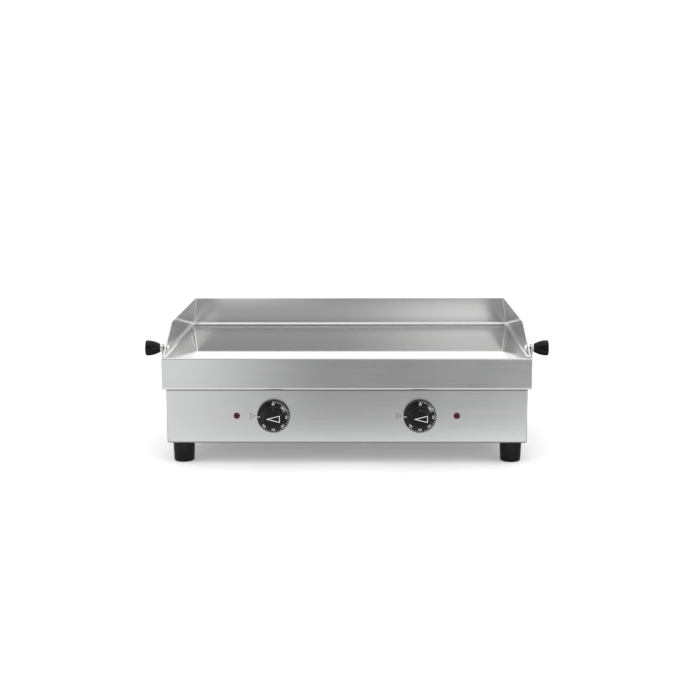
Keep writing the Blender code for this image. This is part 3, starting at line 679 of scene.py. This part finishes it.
def splash_guard():
    """The folded wall round three sides, with a smooth fillet at its foot, cut to a slant at the front."""
    half, front, rear, top = GUARD_HIGH.x, GUARD_LOW.y, GUARD_HIGH.y, GUARD_HIGH.z
    sheet, fillet = GUARD_SHEET, GUARD_FILLET
    section = [(0, GUARD_LOW.z), (0, PLATE_TOP), (0, top), (sheet, top)]
    section += arc((sheet + fillet, PLATE_TOP + GUARD_TOE + fillet), fillet, 180, 270, 12)
    section += [(sheet + fillet, PLATE_TOP - LAP), (sheet, PLATE_TOP - LAP), (sheet, GUARD_LOW.z)]
    paths = []
    for inward, z in section:
        wall = half - inward - guard_inset(z)
        paths.append(wrap_path(wall, front, rear - inward, GUARD_CORNER - inward, z))
    wall = object_of(wrapped_sheet(paths), "guard_wall")
    low = PLATE_TOP + SLANT_FOOT
    slope = SLANT_RUN / (top - low)
    over, past = top + 0.010, front - 0.010
    wedge = [(front, low), (front + slope * (over - low), over), (past, over), (past, low)]
    subtract(wall, object_of(prism(bmesh.new(), wedge, -0.5, 0.5, "x"), "slant_cutter"))
    stud = middle("handle_stud_left")
    bore = [(0, 0), (STUD_HOLE, 0), (STUD_HOLE, 1), (0, 1)]
    hole = turned(bmesh.new(), bore, (-0.5, stud.y, stud.z), (1, 0, 0), 48)
    subtract(wall, object_of(hole, "hole_cutter"))
    finish(wall, STEEL["guard"], "griddle_top", "splash_guard", edge=0.0007, sharp=25)


def skirt():
    """The deep band: rolled over at its top edge and hemmed along the bottom."""
    bottom, sheet, roll, hem = SKIRT_LOW.z, SKIRT_SHEET, FRONT_ROLL, HEM_RADIUS

    def ring(side_in, front_in, rear_in, z):
        radius = SKIRT_CORNER - min(side_in, front_in, rear_in)
        front, rear = SKIRT_LOW.y + front_in, SKIRT_HIGH.y - rear_in
        return rounded_loop(SKIRT_HALF - side_in, front, rear, radius, z)

    folded = 2 * hem
    loops = [ring(folded, folded, folded, bottom + level) for level in (HEM_DEPTH, HEM_HEIGHT)]
    for angle in range(15, 181, 15):
        inset, drop = hem * (1 + cos(radians(angle))), HEM_HEIGHT * sin(radians(angle))
        loops.append(ring(inset, inset, inset, bottom + HEM_HEIGHT - drop))
    for angle in range(0, 91, 9):
        share, drop = 1 - cos(radians(angle)), roll * (1 - sin(radians(angle)))
        loops.append(ring(SIDE_LEDGE * share, roll * share, roll * share, PLATE_TOP - drop))
    inner = (SIDE_LEDGE, roll, REAR_LEDGE)
    loops += [ring(*inner, PLATE_TOP), ring(*inner, PLATE_TOP - sheet - roll * 0.6)]
    loops.append(ring(sheet + 0.0005, sheet, sheet, PLATE_TOP - sheet - roll * 0.7))
    loops.append(ring(sheet, sheet, sheet, bottom + HEM_DEPTH))
    band = object_of(loft(bmesh.new(), loops, ring=True), "skirt_band")
    # The hem's lower outward faces take the fold steel, a painted highlight along the bottom edge.
    for face in band.data.polygons:
        low = face.center.z < bottom + 0.75 * HEM_HEIGHT
        faces_out = face.normal.dot(face.center) > 0
        face.material_index = 1 if low and face.normal.z < -0.20 and faces_out else 0
    finish(band, STEEL["skirt"], "griddle_top", "skirt", sharp=40)
    band.data.materials.append(STEEL["fold"])


def handle_bracket(name, side):
    """The upright strap on the skirt's side that carries a knob, with two spot welds."""
    knob, half, ease = middle(f"handle_knob_{name}"), BRACKET_HALF, 0.002
    foot, outer = PLATE_TOP - BRACKET_LAP, SKIRT_HALF + BRACKET_STANDS
    outline = [(knob.y - half, foot + ease), (knob.y - half + ease, foot)]
    outline += [(knob.y + half - ease, foot), (knob.y + half, foot + ease)]
    outline += arc((knob.y, knob.z), half, 0, 180, 24)
    faces = sorted((side * (outer - BRACKET_THICKNESS), side * outer))
    strap = object_of(prism(bmesh.new(), outline, *faces, "x"), f"handle_bracket_{name}")
    finish(strap, STEEL["base"], "griddle_top", edge=0.0004)
    bead = [(0, 0.0002), (0.0012, 0.00015), (0.0020, -0.0003), (0, -0.0003)]
    for end, dy in zip(ENDS, (-0.004, 0.004)):
        place = (side * outer, knob.y + dy, foot + 0.006)
        weld, steel = f"spot_weld_{name}_{end}", STEEL["plain"]
        finish_turned(weld, bead, place, (side, 0, 0), 24, steel, "griddle_top")


def handle_ferrule(name, side):
    """The bright ring between a knob and its bracket."""
    node, bore = f"handle_ferrule_{name}", FERRULE_BORE
    start, length, radius = sideways(node, side)
    rim = radius - 0.0002
    outline = [(bore, 0), (rim, 0, 0.0004), (radius, length / 2, 0.0008), (rim, length, 0.0004)]
    outline, steel = eased([*outline, (bore, length)]), STEEL["bright"]
    finish_turned(f"ferrule_{name}", outline, start, (side, 0, 0), 48, steel, "griddle_top", node, ring=True)


def handle_knob(name, side):
    """The bell-shaped black knob: it swells outwards and its end is slightly domed."""
    node, neck, bore, depth = f"handle_knob_{name}", KNOB_NECK, KNOB_BORE, KNOB_BORE_DEPTH
    start, length, full = sideways(node, side)
    outline = [(0, depth), (bore, depth), (bore, 0), (neck - 0.0004, 0), (neck, 0.0003)]
    outline += [(neck + 0.0006, 0.0006), (neck + 0.0008, 0.0011)]
    swell, swell_start, swell_end, steps = neck + 0.0009, 0.0012, length - 0.0048, 18
    for i in range(steps + 1):
        t = i / steps
        along = swell_start + t * (swell_end - swell_start)
        outline.append((swell + (full - swell) * sin(t * pi / 2) ** 0.86, along))
    end = [(full, swell_end), (full, length - 0.0006, 0.0042), (0.006, length - 0.0001, 0.004), (0, length)]
    outline += eased(end, 8)[1:]
    finish_turned(f"knob_{name}", outline, start, (side, 0, 0), 72, BLACK, "griddle_top", node)


def handle_fixings(name, side):
    """The threaded stud through knob, bracket and guard, and the nut inside the guard."""
    node, axis = f"handle_stud_{name}", (side, 0, 0)
    start, length, radius = sideways(node, side)
    rod = threaded_rod(bmesh.new(), radius, start, axis, length, 0.0010)
    finish(object_of(rod, f"stud_{name}"), STEEL["zinc"], "griddle_top", node)
    node = f"handle_nut_{name}"
    start, length, _ = sideways(node, side)
    flats, bore, steel = HANDLE_NUT_FLATS, radius + 0.0002, STEEL["bright"]
    finish_nut(f"nut_{name}", flats, bore, start, axis, length, steel, "griddle_top", node)


# ---- Heating parts ----


def heating_element(name):
    """A smooth tubular element in four runs, with ceramic beads at its two cold ends."""
    low, high, spot = measured(f"heating_element_{name}")
    radius = (high.z - low.z) / 2
    pitch = (high.x - low.x - 2 * radius) / 3
    bend = pitch / 2
    runs = [low.x + radius + pitch * k for k in range(4)]
    front = low.y + radius + bend
    path = [(runs[0], high.y), *arc((runs[0] + bend, front), bend, 180, 360, 24)]
    path += arc((runs[1] + bend, ELEMENT_REAR_TURN), bend, 180, 0, 24)
    path += [*arc((runs[2] + bend, front), bend, 180, 360, 24), (runs[3], high.y)]
    points = [Vector((x, y, spot.z)) for x, y in path]
    up, loops = Vector((0, 0, 1)), []
    for i, point in enumerate(points):
        ahead = points[min(i + 1, len(points) - 1)] - points[max(i - 1, 0)]
        across = up.cross(ahead.normalized())
        loops.append([point + radius * (cos(a) * across + sin(a) * up) for a in turns(20)])
    tube = object_of(loft(bmesh.new(), loops, caps=True), f"element_{name}")
    finish(tube, SHEATH, "griddle_top", f"heating_element_{name}")
    outline = [(0, 0), (0.0029, 0, 0.0006), (0.0029, 0.004, 0.0006), (0.0012, 0.004)]
    outline = eased([*outline, (0.0012, 0.009, 0.0003), (0, 0.009)])
    for label, x in (("outer", runs[0]), ("inner", runs[3])):
        bead, place = f"element_bead_{name}_{label}", (x, high.y, spot.z)
        finish_turned(bead, outline, place, (0, 1, 0), 24, CERAMIC, "griddle_top")


def clamp_nut(node):
    low, high, spot = measured(node)
    flats, bore, steel = CLAMP_NUT_FLATS, CLAMP_NUT_BORE, STEEL["zinc"]
    place, height, up = (spot.x, spot.y, low.z), high.z - low.z, (0, 0, 1)
    finish_nut(f"{node}_hex", flats, bore, place, up, height, steel, "griddle_top", node, 0.0004)


def screw_head(node, body):
    """An upward screw: a pan head with a round recess underneath, and its shank."""
    low, high, spot = measured(node)
    head, length, ease = (high.x - low.x) / 2, high.z - low.z, 0.0009
    height = 0.0026 if head < 0.0045 else 0.0035
    shank = 0.5 * head
    outline = [(0, ease), (0.28 * head, ease), (0.34 * head, 0)]
    outline += arc((head - ease, ease), ease, -90, 0, 5)
    outline += [(head, height), (shank, height), (shank, length), (0, length)]
    place = (spot.x, spot.y, low.z)
    finish_turned(f"{node}_pan", outline, place, (0, 0, 1), 40, STEEL["zinc"], body, node)


# ---- Base ----


def base_shell():
    """The wrapped sheet of the base: front and sides, folded under along the bottom."""
    half, front, rear = BASE_HIGH.x, BASE_LOW.y, BASE_HIGH.y
    bottom, top, sheet, fold = BASE_LOW.z, BASE_HIGH.z, BASE_SHEET, BASE_BEND

    def bend(radius, angles):
        return [(fold - radius * cos(radians(a)), bottom + fold - radius * sin(radians(a))) for a in angles]

    section = [(0, top), *bend(fold, range(0, 91, 10)), (BASE_FLANGE, bottom)]
    section += [(BASE_FLANGE, bottom + sheet), *bend(fold - sheet, range(90, -1, -10)), (sheet, top)]
    paths = []
    for inward, z in section:
        paths.append(wrap_path(half - inward, rear, front + inward, BASE_CORNER - inward, z))
    shell = object_of(wrapped_sheet(paths), "base_shell")
    finish(shell, STEEL["base"], "base", "base_housing", sharp=40)


def slot_outline(x, low, high, radius):
    """An upright slot with round ends."""
    return arc((x, high - radius), radius, 0, 180, 8) + arc((x, low + radius), radius, 180, 360, 8)


def rear_panel():
    """The rear wall with its row of round-ended vent slots and a hole for the gland."""
    half, rear, front, sheet = PANEL_HIGH.x, PANEL_HIGH.y, PANEL_LOW.y, BASE_SHEET
    near, far = rear - 0.01, rear + 0.01
    outline = [(-half, front), (sheet - half, front), (sheet - half, rear - sheet)]
    outline += [(half - sheet, rear - sheet), (half - sheet, front), (half, front)]
    outline += [(half, rear), (-half, rear)]
    panel = object_of(prism(bmesh.new(), outline, PANEL_LOW.z, PANEL_HIGH.z, "z"), "rear_wall")
    cutter = bmesh.new()
    for x in VENT_XS:
        prism(cutter, slot_outline(x, VENT_LOW, VENT_HIGH, VENT_RADIUS), near, far, "y")
    gland = middle("gland_nut")
    hole = [(0, 0), (GLAND_HOLE, 0), (GLAND_HOLE, 0.02), (0, 0.02)]
    turned(cutter, hole, (gland.x, near, gland.z), (0, 1, 0), 48)
    subtract(panel, object_of(cutter, "slot_cutter"))
    finish(panel, STEEL["base"], "base", "rear_panel", edge=0.0003, sharp=25)


def panel_screw(name, place, facing):
    """A small pan-head screw with a cross recess."""
    radius, height, long, thin = 0.0034, 0.0019, 0.0018, 0.0004
    outline = [(0, height), (radius - 0.0010, height, 0.0004), (radius, 0.0009, 0.0010), (radius, 0), (0, 0)]
    head = object_of(turned(bmesh.new(), eased(outline), place, facing, 40), name)
    frame_of_head = Matrix.Translation(place) @ turned_to(facing).to_4x4()
    for across, along in ((long, thin), (thin, long)):
        bar = placed_bar(bmesh.new(), frame_of_head, across, along, height - 0.0008, height + 0.001)
        subtract(head, object_of(bar, "recess_cutter"))
    finish(head, STEEL["zinc"], "base", sharp=25)


def panel_screws():
    """Four along the foot of the rear panel and two up each side, near the rear corner."""
    for k, x in enumerate(REAR_SCREW_XS):
        panel_screw(f"rear_screw_{k + 1}", (x, PANEL_HIGH.y, PANEL_LOW.z + 0.008), (0, 1, 0))
    for name, side in SIDES.items():
        for k, z in enumerate(SIDE_SCREW_ZS):
            place = (side * BASE_HIGH.x, BASE_HIGH.y - 0.0065, z)
            panel_screw(f"side_screw_{name}_{k + 1}", place, (side, 0, 0))


def foot(corner):
    """A tapered rubber foot with a rounded tread edge, hollow underneath for its screw."""
    low, high, spot = measured(f"foot_{corner}")
    top, radius = high.z, (high.x - low.x) / 2
    outline = [(FOOT_BORE, FOOT_WEB), (FOOT_HOLLOW - 0.0004, FOOT_WEB, 0.0006), (FOOT_HOLLOW, 0, 0.0008)]
    outline += [(FOOT_TREAD, 0, 0.0034), (radius - 0.0004, top - 0.0040, 0.001)]
    outline += [(radius, top - 0.0026, 0.0006), (radius, top, 0.0006), (FOOT_BORE, top)]
    outline, place, node = eased(outline, 8), (spot.x, spot.y, 0), f"foot_{corner}"
    finish_turned(f"rubber_{corner}", outline, place, (0, 0, 1), 72, RUBBER, "base", node, ring=True)


# ---- Controls ----


def on_dial(place, angle, radius, lift=0.0):
    """A frame on the dial's cone: x runs clockwise, y outwards. The angle is clockwise from the top."""
    (outer, near), (inner, far) = DIAL_SLOPE
    lean = atan2(far - near, outer - inner)
    out = Vector((sin(radians(angle)), 0, cos(radians(angle))))
    clockwise = Vector((cos(radians(angle)), 0, -sin(radians(angle))))
    up = out * cos(lean) + Vector((0, 1, 0)) * sin(lean)
    face = clockwise.cross(up)
    distance = near + (outer - radius) * tan(lean)
    spot = place + out * radius + Vector((0, -distance, 0)) + face * lift
    return Matrix.Translation(spot) @ Matrix((clockwise, up, face)).transposed().to_4x4()


def add_text(bm, text, size, matrix):
    """Adds raised characters, centred on the matrix."""
    curve = bpy.data.curves.new("characters", "FONT")
    curve.body, curve.size = text, size
    curve.align_x, curve.align_y = "CENTER", "CENTER"
    curve.extrude, curve.offset = 0.00003, 0.00005
    holder = bpy.data.objects.new("characters", curve)
    bpy.context.scene.collection.objects.link(holder)
    bpy.context.view_layer.update()
    mesh = applied_mesh(holder)
    mesh.transform(matrix)
    bm.from_mesh(mesh)
    bpy.data.objects.remove(holder)
    bpy.data.meshes.remove(mesh)


def add_stroke(bm, matrix, width, length):
    """A printed bar, centred on the matrix, with its length along y."""
    placed_bar(bm, matrix, width / 2, length / 2, 0, 0.00004)


def add_triangle(bm, corners, stroke, y, height):
    """An outlined triangle in the x-z plane. It stands from y towards the front."""
    points = [Vector(c) for c in corners]
    inner = []
    for i, here in enumerate(points):
        before, after = points[i - 1], points[(i + 1) % 3]
        bisector = ((before - here).normalized() + (after - here).normalized()).normalized()
        half_angle = (before - here).angle(after - here) / 2
        inner.append(here + bisector * stroke / sin(half_angle))
    rows = []
    for outline, depth in ((points, 0), (points, height), (inner, height), (inner, 0)):
        rows.append([(p.x, y - depth, p.y) for p in outline])
    loft(bm, rows, ring=True)


def dial_body(name, place, rim, reach):
    """The printed cone round a raised round grip with a flat face, bored for its spindle."""
    (outer, near), (inner, far) = DIAL_SLOPE
    bore, back, grip = SPINDLE_BORE, DIAL_STANDOFF, DIAL_GRIP
    outline = [(0, 0.0200), (bore, 0.0200), (bore, back), (rim - 0.0005, back, 0.0005)]
    outline += [(rim, 0.0085, 0.0010), (outer, near, 0.0007), (inner, far, 0.0012)]
    outline += [(grip, far + 0.0016, 0.0012), (grip - 0.0006, reach - 0.0004, 0.0022)]
    outline += [(grip - 0.0040, reach, 0.0012), (0.0140, reach - 0.0001), (0, reach - 0.0001)]
    node = body = f"dial_{name}"
    finish_turned(f"dial_body_{name}", eased(outline, 6), place, (0, -1, 0), 96, DIAL_BLACK, body, node)


def dial_marks(name, place, reach):
    """The printed scale, the stroke at the off position and the outlined triangle on the grip."""
    marks = bmesh.new()
    for k, text in enumerate(SCALE):
        size = 0.0052 if len(text) < 3 else 0.0047
        add_text(marks, text, size, on_dial(place, SCALE_STEP * k, NUMBER_RADIUS, 0.00004))
    tick_step = SCALE_STEP / TICKS_PER_STEP
    for k in range(TICKS_PER_STEP * (len(SCALE) - 1) + 1):
        length = 0.0019 if k % TICKS_PER_STEP else 0.0027
        add_stroke(marks, on_dial(place, tick_step * k, TICK_RADIUS), 0.00085, length)
    add_stroke(marks, on_dial(place, OFF_ANGLE, OFF_RADIUS), 0.0010, 0.0056)
    tip, foot_x, half = place.x - 0.0118, place.x + 0.0133, 0.0066
    corners = [(tip, place.z), (foot_x, place.z - half), (foot_x, place.z + half)]
    add_triangle(marks, corners, 0.0010, BASE_LOW.y - reach + 0.00015, 0.00012)
    finish(object_of(marks, f"dial_marks_{name}"), WHITE_INK, f"dial_{name}")


def dial(name):
    low, high, spot = measured(f"dial_{name}")
    place, reach = Vector((spot.x, BASE_LOW.y, spot.z)), BASE_LOW.y - low.y
    dial_body(name, place, (high.x - low.x) / 2, reach)
    dial_marks(name, place, reach)


def index_mark(name):
    """The printed outlined triangle on the panel that points at the dial."""
    spot = middle(f"dial_{name}")
    tip, length, half = spot.x - 0.0335, 0.0100, 0.0054
    corners = [(tip, spot.z), (tip - length, spot.z + half), (tip - length, spot.z - half)]
    bm = bmesh.new()
    add_triangle(bm, corners, 0.0008, BASE_LOW.y, 0.00005)
    finish(object_of(bm, f"index_mark_{name}"), DARK_INK, "base")


def pilot_lamp(name):
    """A domed lens with a low collar and its barrel through the panel."""
    low, high, spot = measured(f"pilot_lens_{name}")
    radius, stands = (high.x - low.x) / 2, BASE_LOW.y - low.y
    barrel, tail = 0.0043, 0.0030
    outline = [(0, stands), (0.0034, stands - 0.0005, 0.0015), (radius - 0.0010, 0.0016, 0.0006)]
    outline += [(radius - 0.0009, 0.0012, 0.0002), (radius - 0.0001, 0.0010, 0.0003), (radius, 0.0001)]
    outline += [(barrel, 0.0001), (barrel, -0.0160, 0.0004), (tail, -0.0170), (tail, -0.0220), (0, -0.0220)]
    outline, place, node = eased(outline, 6), (spot.x, BASE_LOW.y, spot.z), f"pilot_lens_{name}"
    finish_turned(f"pilot_lamp_{name}", outline, place, (0, -1, 0), 48, LENS, "base", node)


# ---- Rear fittings ----


def domed_rivet(bm, place, facing):
    quarter = [radians(a) for a in range(0, 91, 10)]
    dome = [(RIVET_RADIUS * sin(a), RIVET_HEIGHT * cos(a)) for a in quarter]
    turned(bm, dome + [(0, 0)], place, facing, 32)


def hinge_leaf(node, body, pin_node):
    """A leaf with rounded corners, its knuckles rolled on the pin's axis, and two rivets."""
    low, high, spot = measured(node)
    pin, half, near = middle(pin_node), (high.x - low.x) / 2, low.y
    left, right, ease, sheet = spot.x - half, spot.x + half, LEAF_EASE, near + LEAF_SHEET
    bm = bmesh.new()
    if "top" in node:
        foot_z, brow, rivet_z = pin.z + 0.006, high.z, pin.z + 0.0200
        spans = [(-MIDDLE_KNUCKLE, MIDDLE_KNUCKLE)]
        outline = arc((right - ease, brow - ease), ease, 0, 90, 6)
        outline += arc((left + ease, brow - ease), ease, 90, 180, 6)
        outline += [(left, foot_z), (right, foot_z)]
        neck_low = (spot.x - MIDDLE_KNUCKLE, near, pin.z)
        block(bm, neck_low, (spot.x + MIDDLE_KNUCKLE, sheet, foot_z + 0.001))
    else:
        foot_z, brow, rivet_z = low.z, pin.z - 0.0030, pin.z - 0.0250
        spans = [(-half, -OUTER_KNUCKLE), (OUTER_KNUCKLE, half)]
        outline = [(right, brow), (left, brow)]
        outline += arc((left + ease, foot_z + ease), ease, 180, 270, 6)
        outline += arc((right - ease, foot_z + ease), ease, 270, 360, 6)
        for a, b in spans:
            block(bm, (spot.x + a, near, pin.z - KNUCKLE_RADIUS), (spot.x + b, pin.y, brow))
    prism(bm, outline, near, sheet, "y")
    for a, b in spans:
        barrel = [(KNUCKLE_BORE, 0), (KNUCKLE_RADIUS, 0, 0.0003), (KNUCKLE_RADIUS, b - a, 0.0003)]
        barrel = eased([*barrel, (KNUCKLE_BORE, b - a)], 2)
        turned(bm, barrel, (spot.x + a, pin.y, pin.z), (1, 0, 0), 40, ring=True)
    for dx in (-RIVET_OFFSET, RIVET_OFFSET):
        domed_rivet(bm, (spot.x + dx, sheet, rivet_z), (0, 1, 0))
    finish(object_of(bm, f"{node}_plate"), STEEL["plain"], body, node)


def hinge_pin(side):
    """The pin through the knuckles, with a head at its right end."""
    low, high, spot = measured(f"hinge_pin_{side}")
    length = high.x - low.x
    under = length - 0.0015
    outline = [(0, 0), (PIN_RADIUS, 0, 0.0004), (PIN_RADIUS, under), (PIN_HEAD, under, 0.0002)]
    outline += [(PIN_HEAD, length, 0.0008), (0, length)]
    outline, place, node = eased(outline, 4), (low.x, spot.y, spot.z), f"hinge_pin_{side}"
    finish_turned(f"hinge_pin_rod_{side}", outline, place, (1, 0, 0), 32, STEEL["zinc"], "base", node)


def cable_gland():
    """The gland outside the rear panel: hexagon, domed cap with ribs, and a closed mouth."""
    low, high, spot = measured("cable_gland")
    near, backward = PANEL_HIGH.y, (0, 1, 0)
    reach, barrel, ribs = high.y - near, 0.0078, 18
    bm = bmesh.new()
    shank = [(0, -0.0090), (barrel, -0.0090), (barrel, 0.0003), (0, 0.0003)]
    turned(bm, shank, (spot.x, near, spot.z), backward, 48)
    hexagon(bm, GLAND_NUT_FLATS, 0.002, (spot.x, near + 0.0003, spot.z), backward, 0.0080)
    outline = [(0.0108, 0.0083), (0.0110, 0.0090), (0.0108, reach - 0.004, 0.003), (0.0085, reach, 0.001)]
    outline += [(0.0050, reach), (0.0046, reach - 0.003), (0.0001, reach - 0.003)]
    loops = []
    for radius, distance in eased(outline, 5):
        row = []
        for angle in turns(ribs * 6):
            ripple = 0.0004 * (0.5 - 0.5 * cos(ribs * angle)) if radius > 0.0095 else 0
            rim = radius - ripple
            row.append((spot.x + rim * cos(angle), near + distance, spot.z + rim * sin(angle)))
        loops.append(row)
    loft(bm, loops, caps=True)
    finish(object_of(bm, "gland_body"), NYLON, "base", "cable_gland")
    low, high, spot = measured("gland_nut")
    place, height, flats, bore = (spot.x, low.y, spot.z), high.y - low.y, GLAND_NUT_FLATS, GLAND_NUT_BORE
    finish_nut("gland_locknut", flats, bore, place, backward, height, NYLON, "base", "gland_nut")


# ---- CAD nodes that keep their own shape ----


def dress(node, material, edge=0.0003):
    """A CAD solid with its edges eased and a detailed material."""
    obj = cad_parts[node]
    obj.data.materials.clear()
    obj.data.materials.append(material)
    weld = obj.modifiers.new("weld", "WELD")
    weld.merge_threshold = 0.00001
    bevel(obj, edge)
    even_normals(obj)


def dress_inner_parts():
    for side in SIDES:
        dress(f"thermostat_{side}", CERAMIC, 0.0005)
        dress(f"spindle_{side}", STEEL["zinc"])
        dress(f"sensor_bulb_{side}", STEEL["bright"])
        for node in ("pilot_clip_%s", "clamp_bar_%s_front", "clamp_bar_%s_rear"):
            dress(node % side, STEEL["plain"])
    dress("terminal_block", CERAMIC, 0.0006)
    dress("bottom_panel", STEEL["plain"])
    dress("heat_shield", STEEL["plain"])
    dress("insulation_mat", FIBRE, 0.001)


# ---- Studio ----

FLOOR_HALF = 40
CARD_HALF, CARD_DROP = 8, -0.001  # the glowing card that gloss sees in place of the floor
WALL_HALF, WALL_Y, WALL_TOP = 4, -3.8, 3.2  # the glowing card behind the camera
CEILING_REAR = 1.6
SOFTBOX_LOW, SOFTBOX_HIGH = 0.08, 0.42
SOFTBOX_LEFT_Y, SOFTBOX_RIGHT_Y = -3.0, -2.9
SOFTBOXES = (("inner", 9, 0.86, 1.12), ("outer", 11, 1.42, 1.80))  # strength, left and right edge
WORLD_STRENGTH, CEILING_STRENGTH, OVERHEAD_WATTS = 1.25, 1.3, 6

# Glow of the floor card from in front to behind, and of the front card upwards
FLOOR_STOPS = (
    (-1.5, 0.33), (-1.0, 0.34), (-0.8, 0.40), (-0.6, 0.50), (-0.5, 0.58),
    (-0.42, 0.70), (-0.34, 1.15), (-0.29, 1.2), (-0.26, 0.3), (0.6, 0.2),
)
FRONT_STOPS = ((0.0, 1.1), (0.55, 1.1), (0.75, 1.0), (0.95, 0.8), (1.30, 0.40), (3.2, 0.3))

# The camera, fitted to the object's corners in the photograph
CAMERA_X, CAMERA_BEFORE_SKIRT, CAMERA_OVER_PLATE = 0.0374, 2.3157, 0.4219
PITCH, YAW, ROLL = 9.953, -0.7636, -0.1468
FOCAL_PIXELS, PICTURE_PIXELS, SENSOR = 1277.5, 700, 36.0


def stage_plane(name, corners, material):
    mesh = bpy.data.meshes.new(name)
    mesh.from_pydata(corners, [], [(0, 1, 2, 3)])
    mesh.materials.append(material)
    obj = bpy.data.objects.new(name, mesh)
    bpy.context.scene.collection.objects.link(obj)
    return obj


def glowing_card(name, corners, strength=1.0, shade=None):
    """A card that only gloss sees. The shade function may add nodes that set its strength."""
    nodes = Nodes(f"{name}_glow", glows=True)
    nodes.set(Strength=strength)
    if shade:
        nodes.join(shade(nodes), nodes.shader.inputs["Strength"])
    card = stage_plane(name, corners, nodes.material)
    card.visible_camera = False
    card.visible_diffuse = False
    card.visible_shadow = False
    card.visible_transmission = False


def level_square(half, z):
    return [(-half, -half, z), (half, -half, z), (half, half, z), (-half, half, z)]


def floor_card_shade(nodes):
    """Bright beside the object and on its left, dim further out in front and underneath."""
    level = nodes.follow("Y", FLOOR_STOPS)
    left = nodes.math("MAXIMUM", nodes.math("SUBTRACT", 1.02, level), 0)
    left = nodes.math("MULTIPLY", left, nodes.ramp("X", -0.03, -0.50, 0.0, 1.0))
    left = nodes.math("MULTIPLY", left, nodes.ramp("Y", -0.27, -0.31, 0.2, 1.0))
    ahead = nodes.ramp("Y", -0.9, -0.5, 0.0, 1.0)
    right = nodes.math("MULTIPLY", nodes.ramp("X", 0.05, 0.45, 0.0, 0.14), ahead)
    right = nodes.math("MULTIPLY", right, nodes.ramp("Y", -0.27, -0.31, 0.0, 1.0))
    return nodes.math("ADD", nodes.math("ADD", level, left), right)


def front_card_shade(nodes):
    """A bright horizon that dims upwards, brighter towards the right."""
    return nodes.math("MULTIPLY", nodes.ramp("X", -0.15, 0.60, 0.56, 1.10), nodes.follow("Z", FRONT_STOPS))


def overhead_light():
    """A wide soft light above the front. Gloss sees the ceiling card instead."""
    place, target = Vector((0, -0.9, 2.3)), Vector((0, -0.1, 0))
    light = bpy.data.lights.new("overhead", "AREA")
    light.shape = "RECTANGLE"
    light.size, light.size_y = 2.4, 1.6
    light.energy = OVERHEAD_WATTS
    obj = bpy.data.objects.new("overhead", light)
    obj.location = place
    obj.rotation_euler = (target - place).to_track_quat("-Z", "Y").to_euler()
    obj.visible_glossy = False
    bpy.context.scene.collection.objects.link(obj)


def studio():
    world = bpy.data.worlds.new("studio")
    world.use_nodes = True
    world.node_tree.nodes["Background"].inputs["Color"].default_value = (1, 1, 1, 1)
    world.node_tree.nodes["Background"].inputs["Strength"].default_value = WORLD_STRENGTH
    bpy.context.scene.world = world

    pale = Nodes("pale_floor")
    pale.tint(pale.noise((3, 3, 3)), (0.76, 0.76, 0.76), (0.78, 0.78, 0.78))
    pale.set(Roughness=0.9, Specular_IOR_Level=0.0, Emission_Color=(1, 1, 1, 1), Emission_Strength=0.22)
    floor = stage_plane("floor", level_square(FLOOR_HALF, 0), pale.material)
    floor.visible_glossy = False

    glowing_card("floor_card", level_square(CARD_HALF, CARD_DROP), shade=floor_card_shade)
    half, y, top, rear = WALL_HALF, WALL_Y, WALL_TOP, CEILING_REAR
    wall = [(-half, y, 0), (half, y, 0), (half, y, top), (-half, y, top)]
    glowing_card("front_card", wall, shade=front_card_shade)
    ceiling = [(-half, y, top), (half, y, top), (half, rear, top), (-half, rear, top)]
    glowing_card("ceiling_card", ceiling, CEILING_STRENGTH)
    low, high = SOFTBOX_LOW, SOFTBOX_HIGH
    for name, strength, left, right in SOFTBOXES:
        start, end = (left, SOFTBOX_LEFT_Y), (right, SOFTBOX_RIGHT_Y)
        corners = [(*start, low), (*end, low), (*end, high), (*start, high)]
        glowing_card(f"{name}_softbox", corners, strength)
    overhead_light()


def camera():
    pitch, yaw, roll = radians(PITCH), radians(YAW), radians(ROLL)
    data = bpy.data.cameras.new("camera")
    data.sensor_width = SENSOR
    data.lens = SENSOR * FOCAL_PIXELS / PICTURE_PIXELS
    data.clip_start, data.clip_end = 0.05, 60
    ahead = Vector((sin(yaw) * cos(pitch), cos(yaw) * cos(pitch), -sin(pitch)))
    right = Vector((cos(yaw), -sin(yaw), 0))
    up = right.cross(ahead)
    across = right * cos(roll) + up * sin(roll)
    upright = up * cos(roll) - right * sin(roll)
    turn = Matrix((across, upright, -ahead)).transposed().to_4x4()
    place = (CAMERA_X, SKIRT_LOW.y - CAMERA_BEFORE_SKIRT, PLATE_TOP + CAMERA_OVER_PLATE)
    obj = bpy.data.objects.new("camera", data)
    obj.matrix_world = Matrix.Translation(place) @ turn
    bpy.context.scene.collection.objects.link(obj)
    bpy.context.scene.camera = obj
    bpy.context.scene.view_settings.view_transform = "Standard"


# ---- Assembly ----


def build():
    camera()
    studio()
    cooking_plate()
    splash_guard()
    skirt()
    for name, side in SIDES.items():
        handle_bracket(name, side)
        handle_ferrule(name, side)
        handle_knob(name, side)
        handle_fixings(name, side)
        heating_element(name)
        dial(name)
        index_mark(name)
        pilot_lamp(name)
        hinge_leaf(f"hinge_top_leaf_{name}", "griddle_top", f"hinge_pin_{name}")
        hinge_leaf(f"hinge_base_leaf_{name}", "base", f"hinge_pin_{name}")
        hinge_pin(name)
        for end in ENDS:
            clamp_nut(f"clamp_nut_{name}_{end}")
    for corner in CORNERS:
        foot(corner)
        screw_head(f"shield_screw_{corner}", "griddle_top")
        screw_head(f"foot_screw_{corner}", "base")
    base_shell()
    rear_panel()
    panel_screws()
    cable_gland()
    dress_inner_parts()


build()
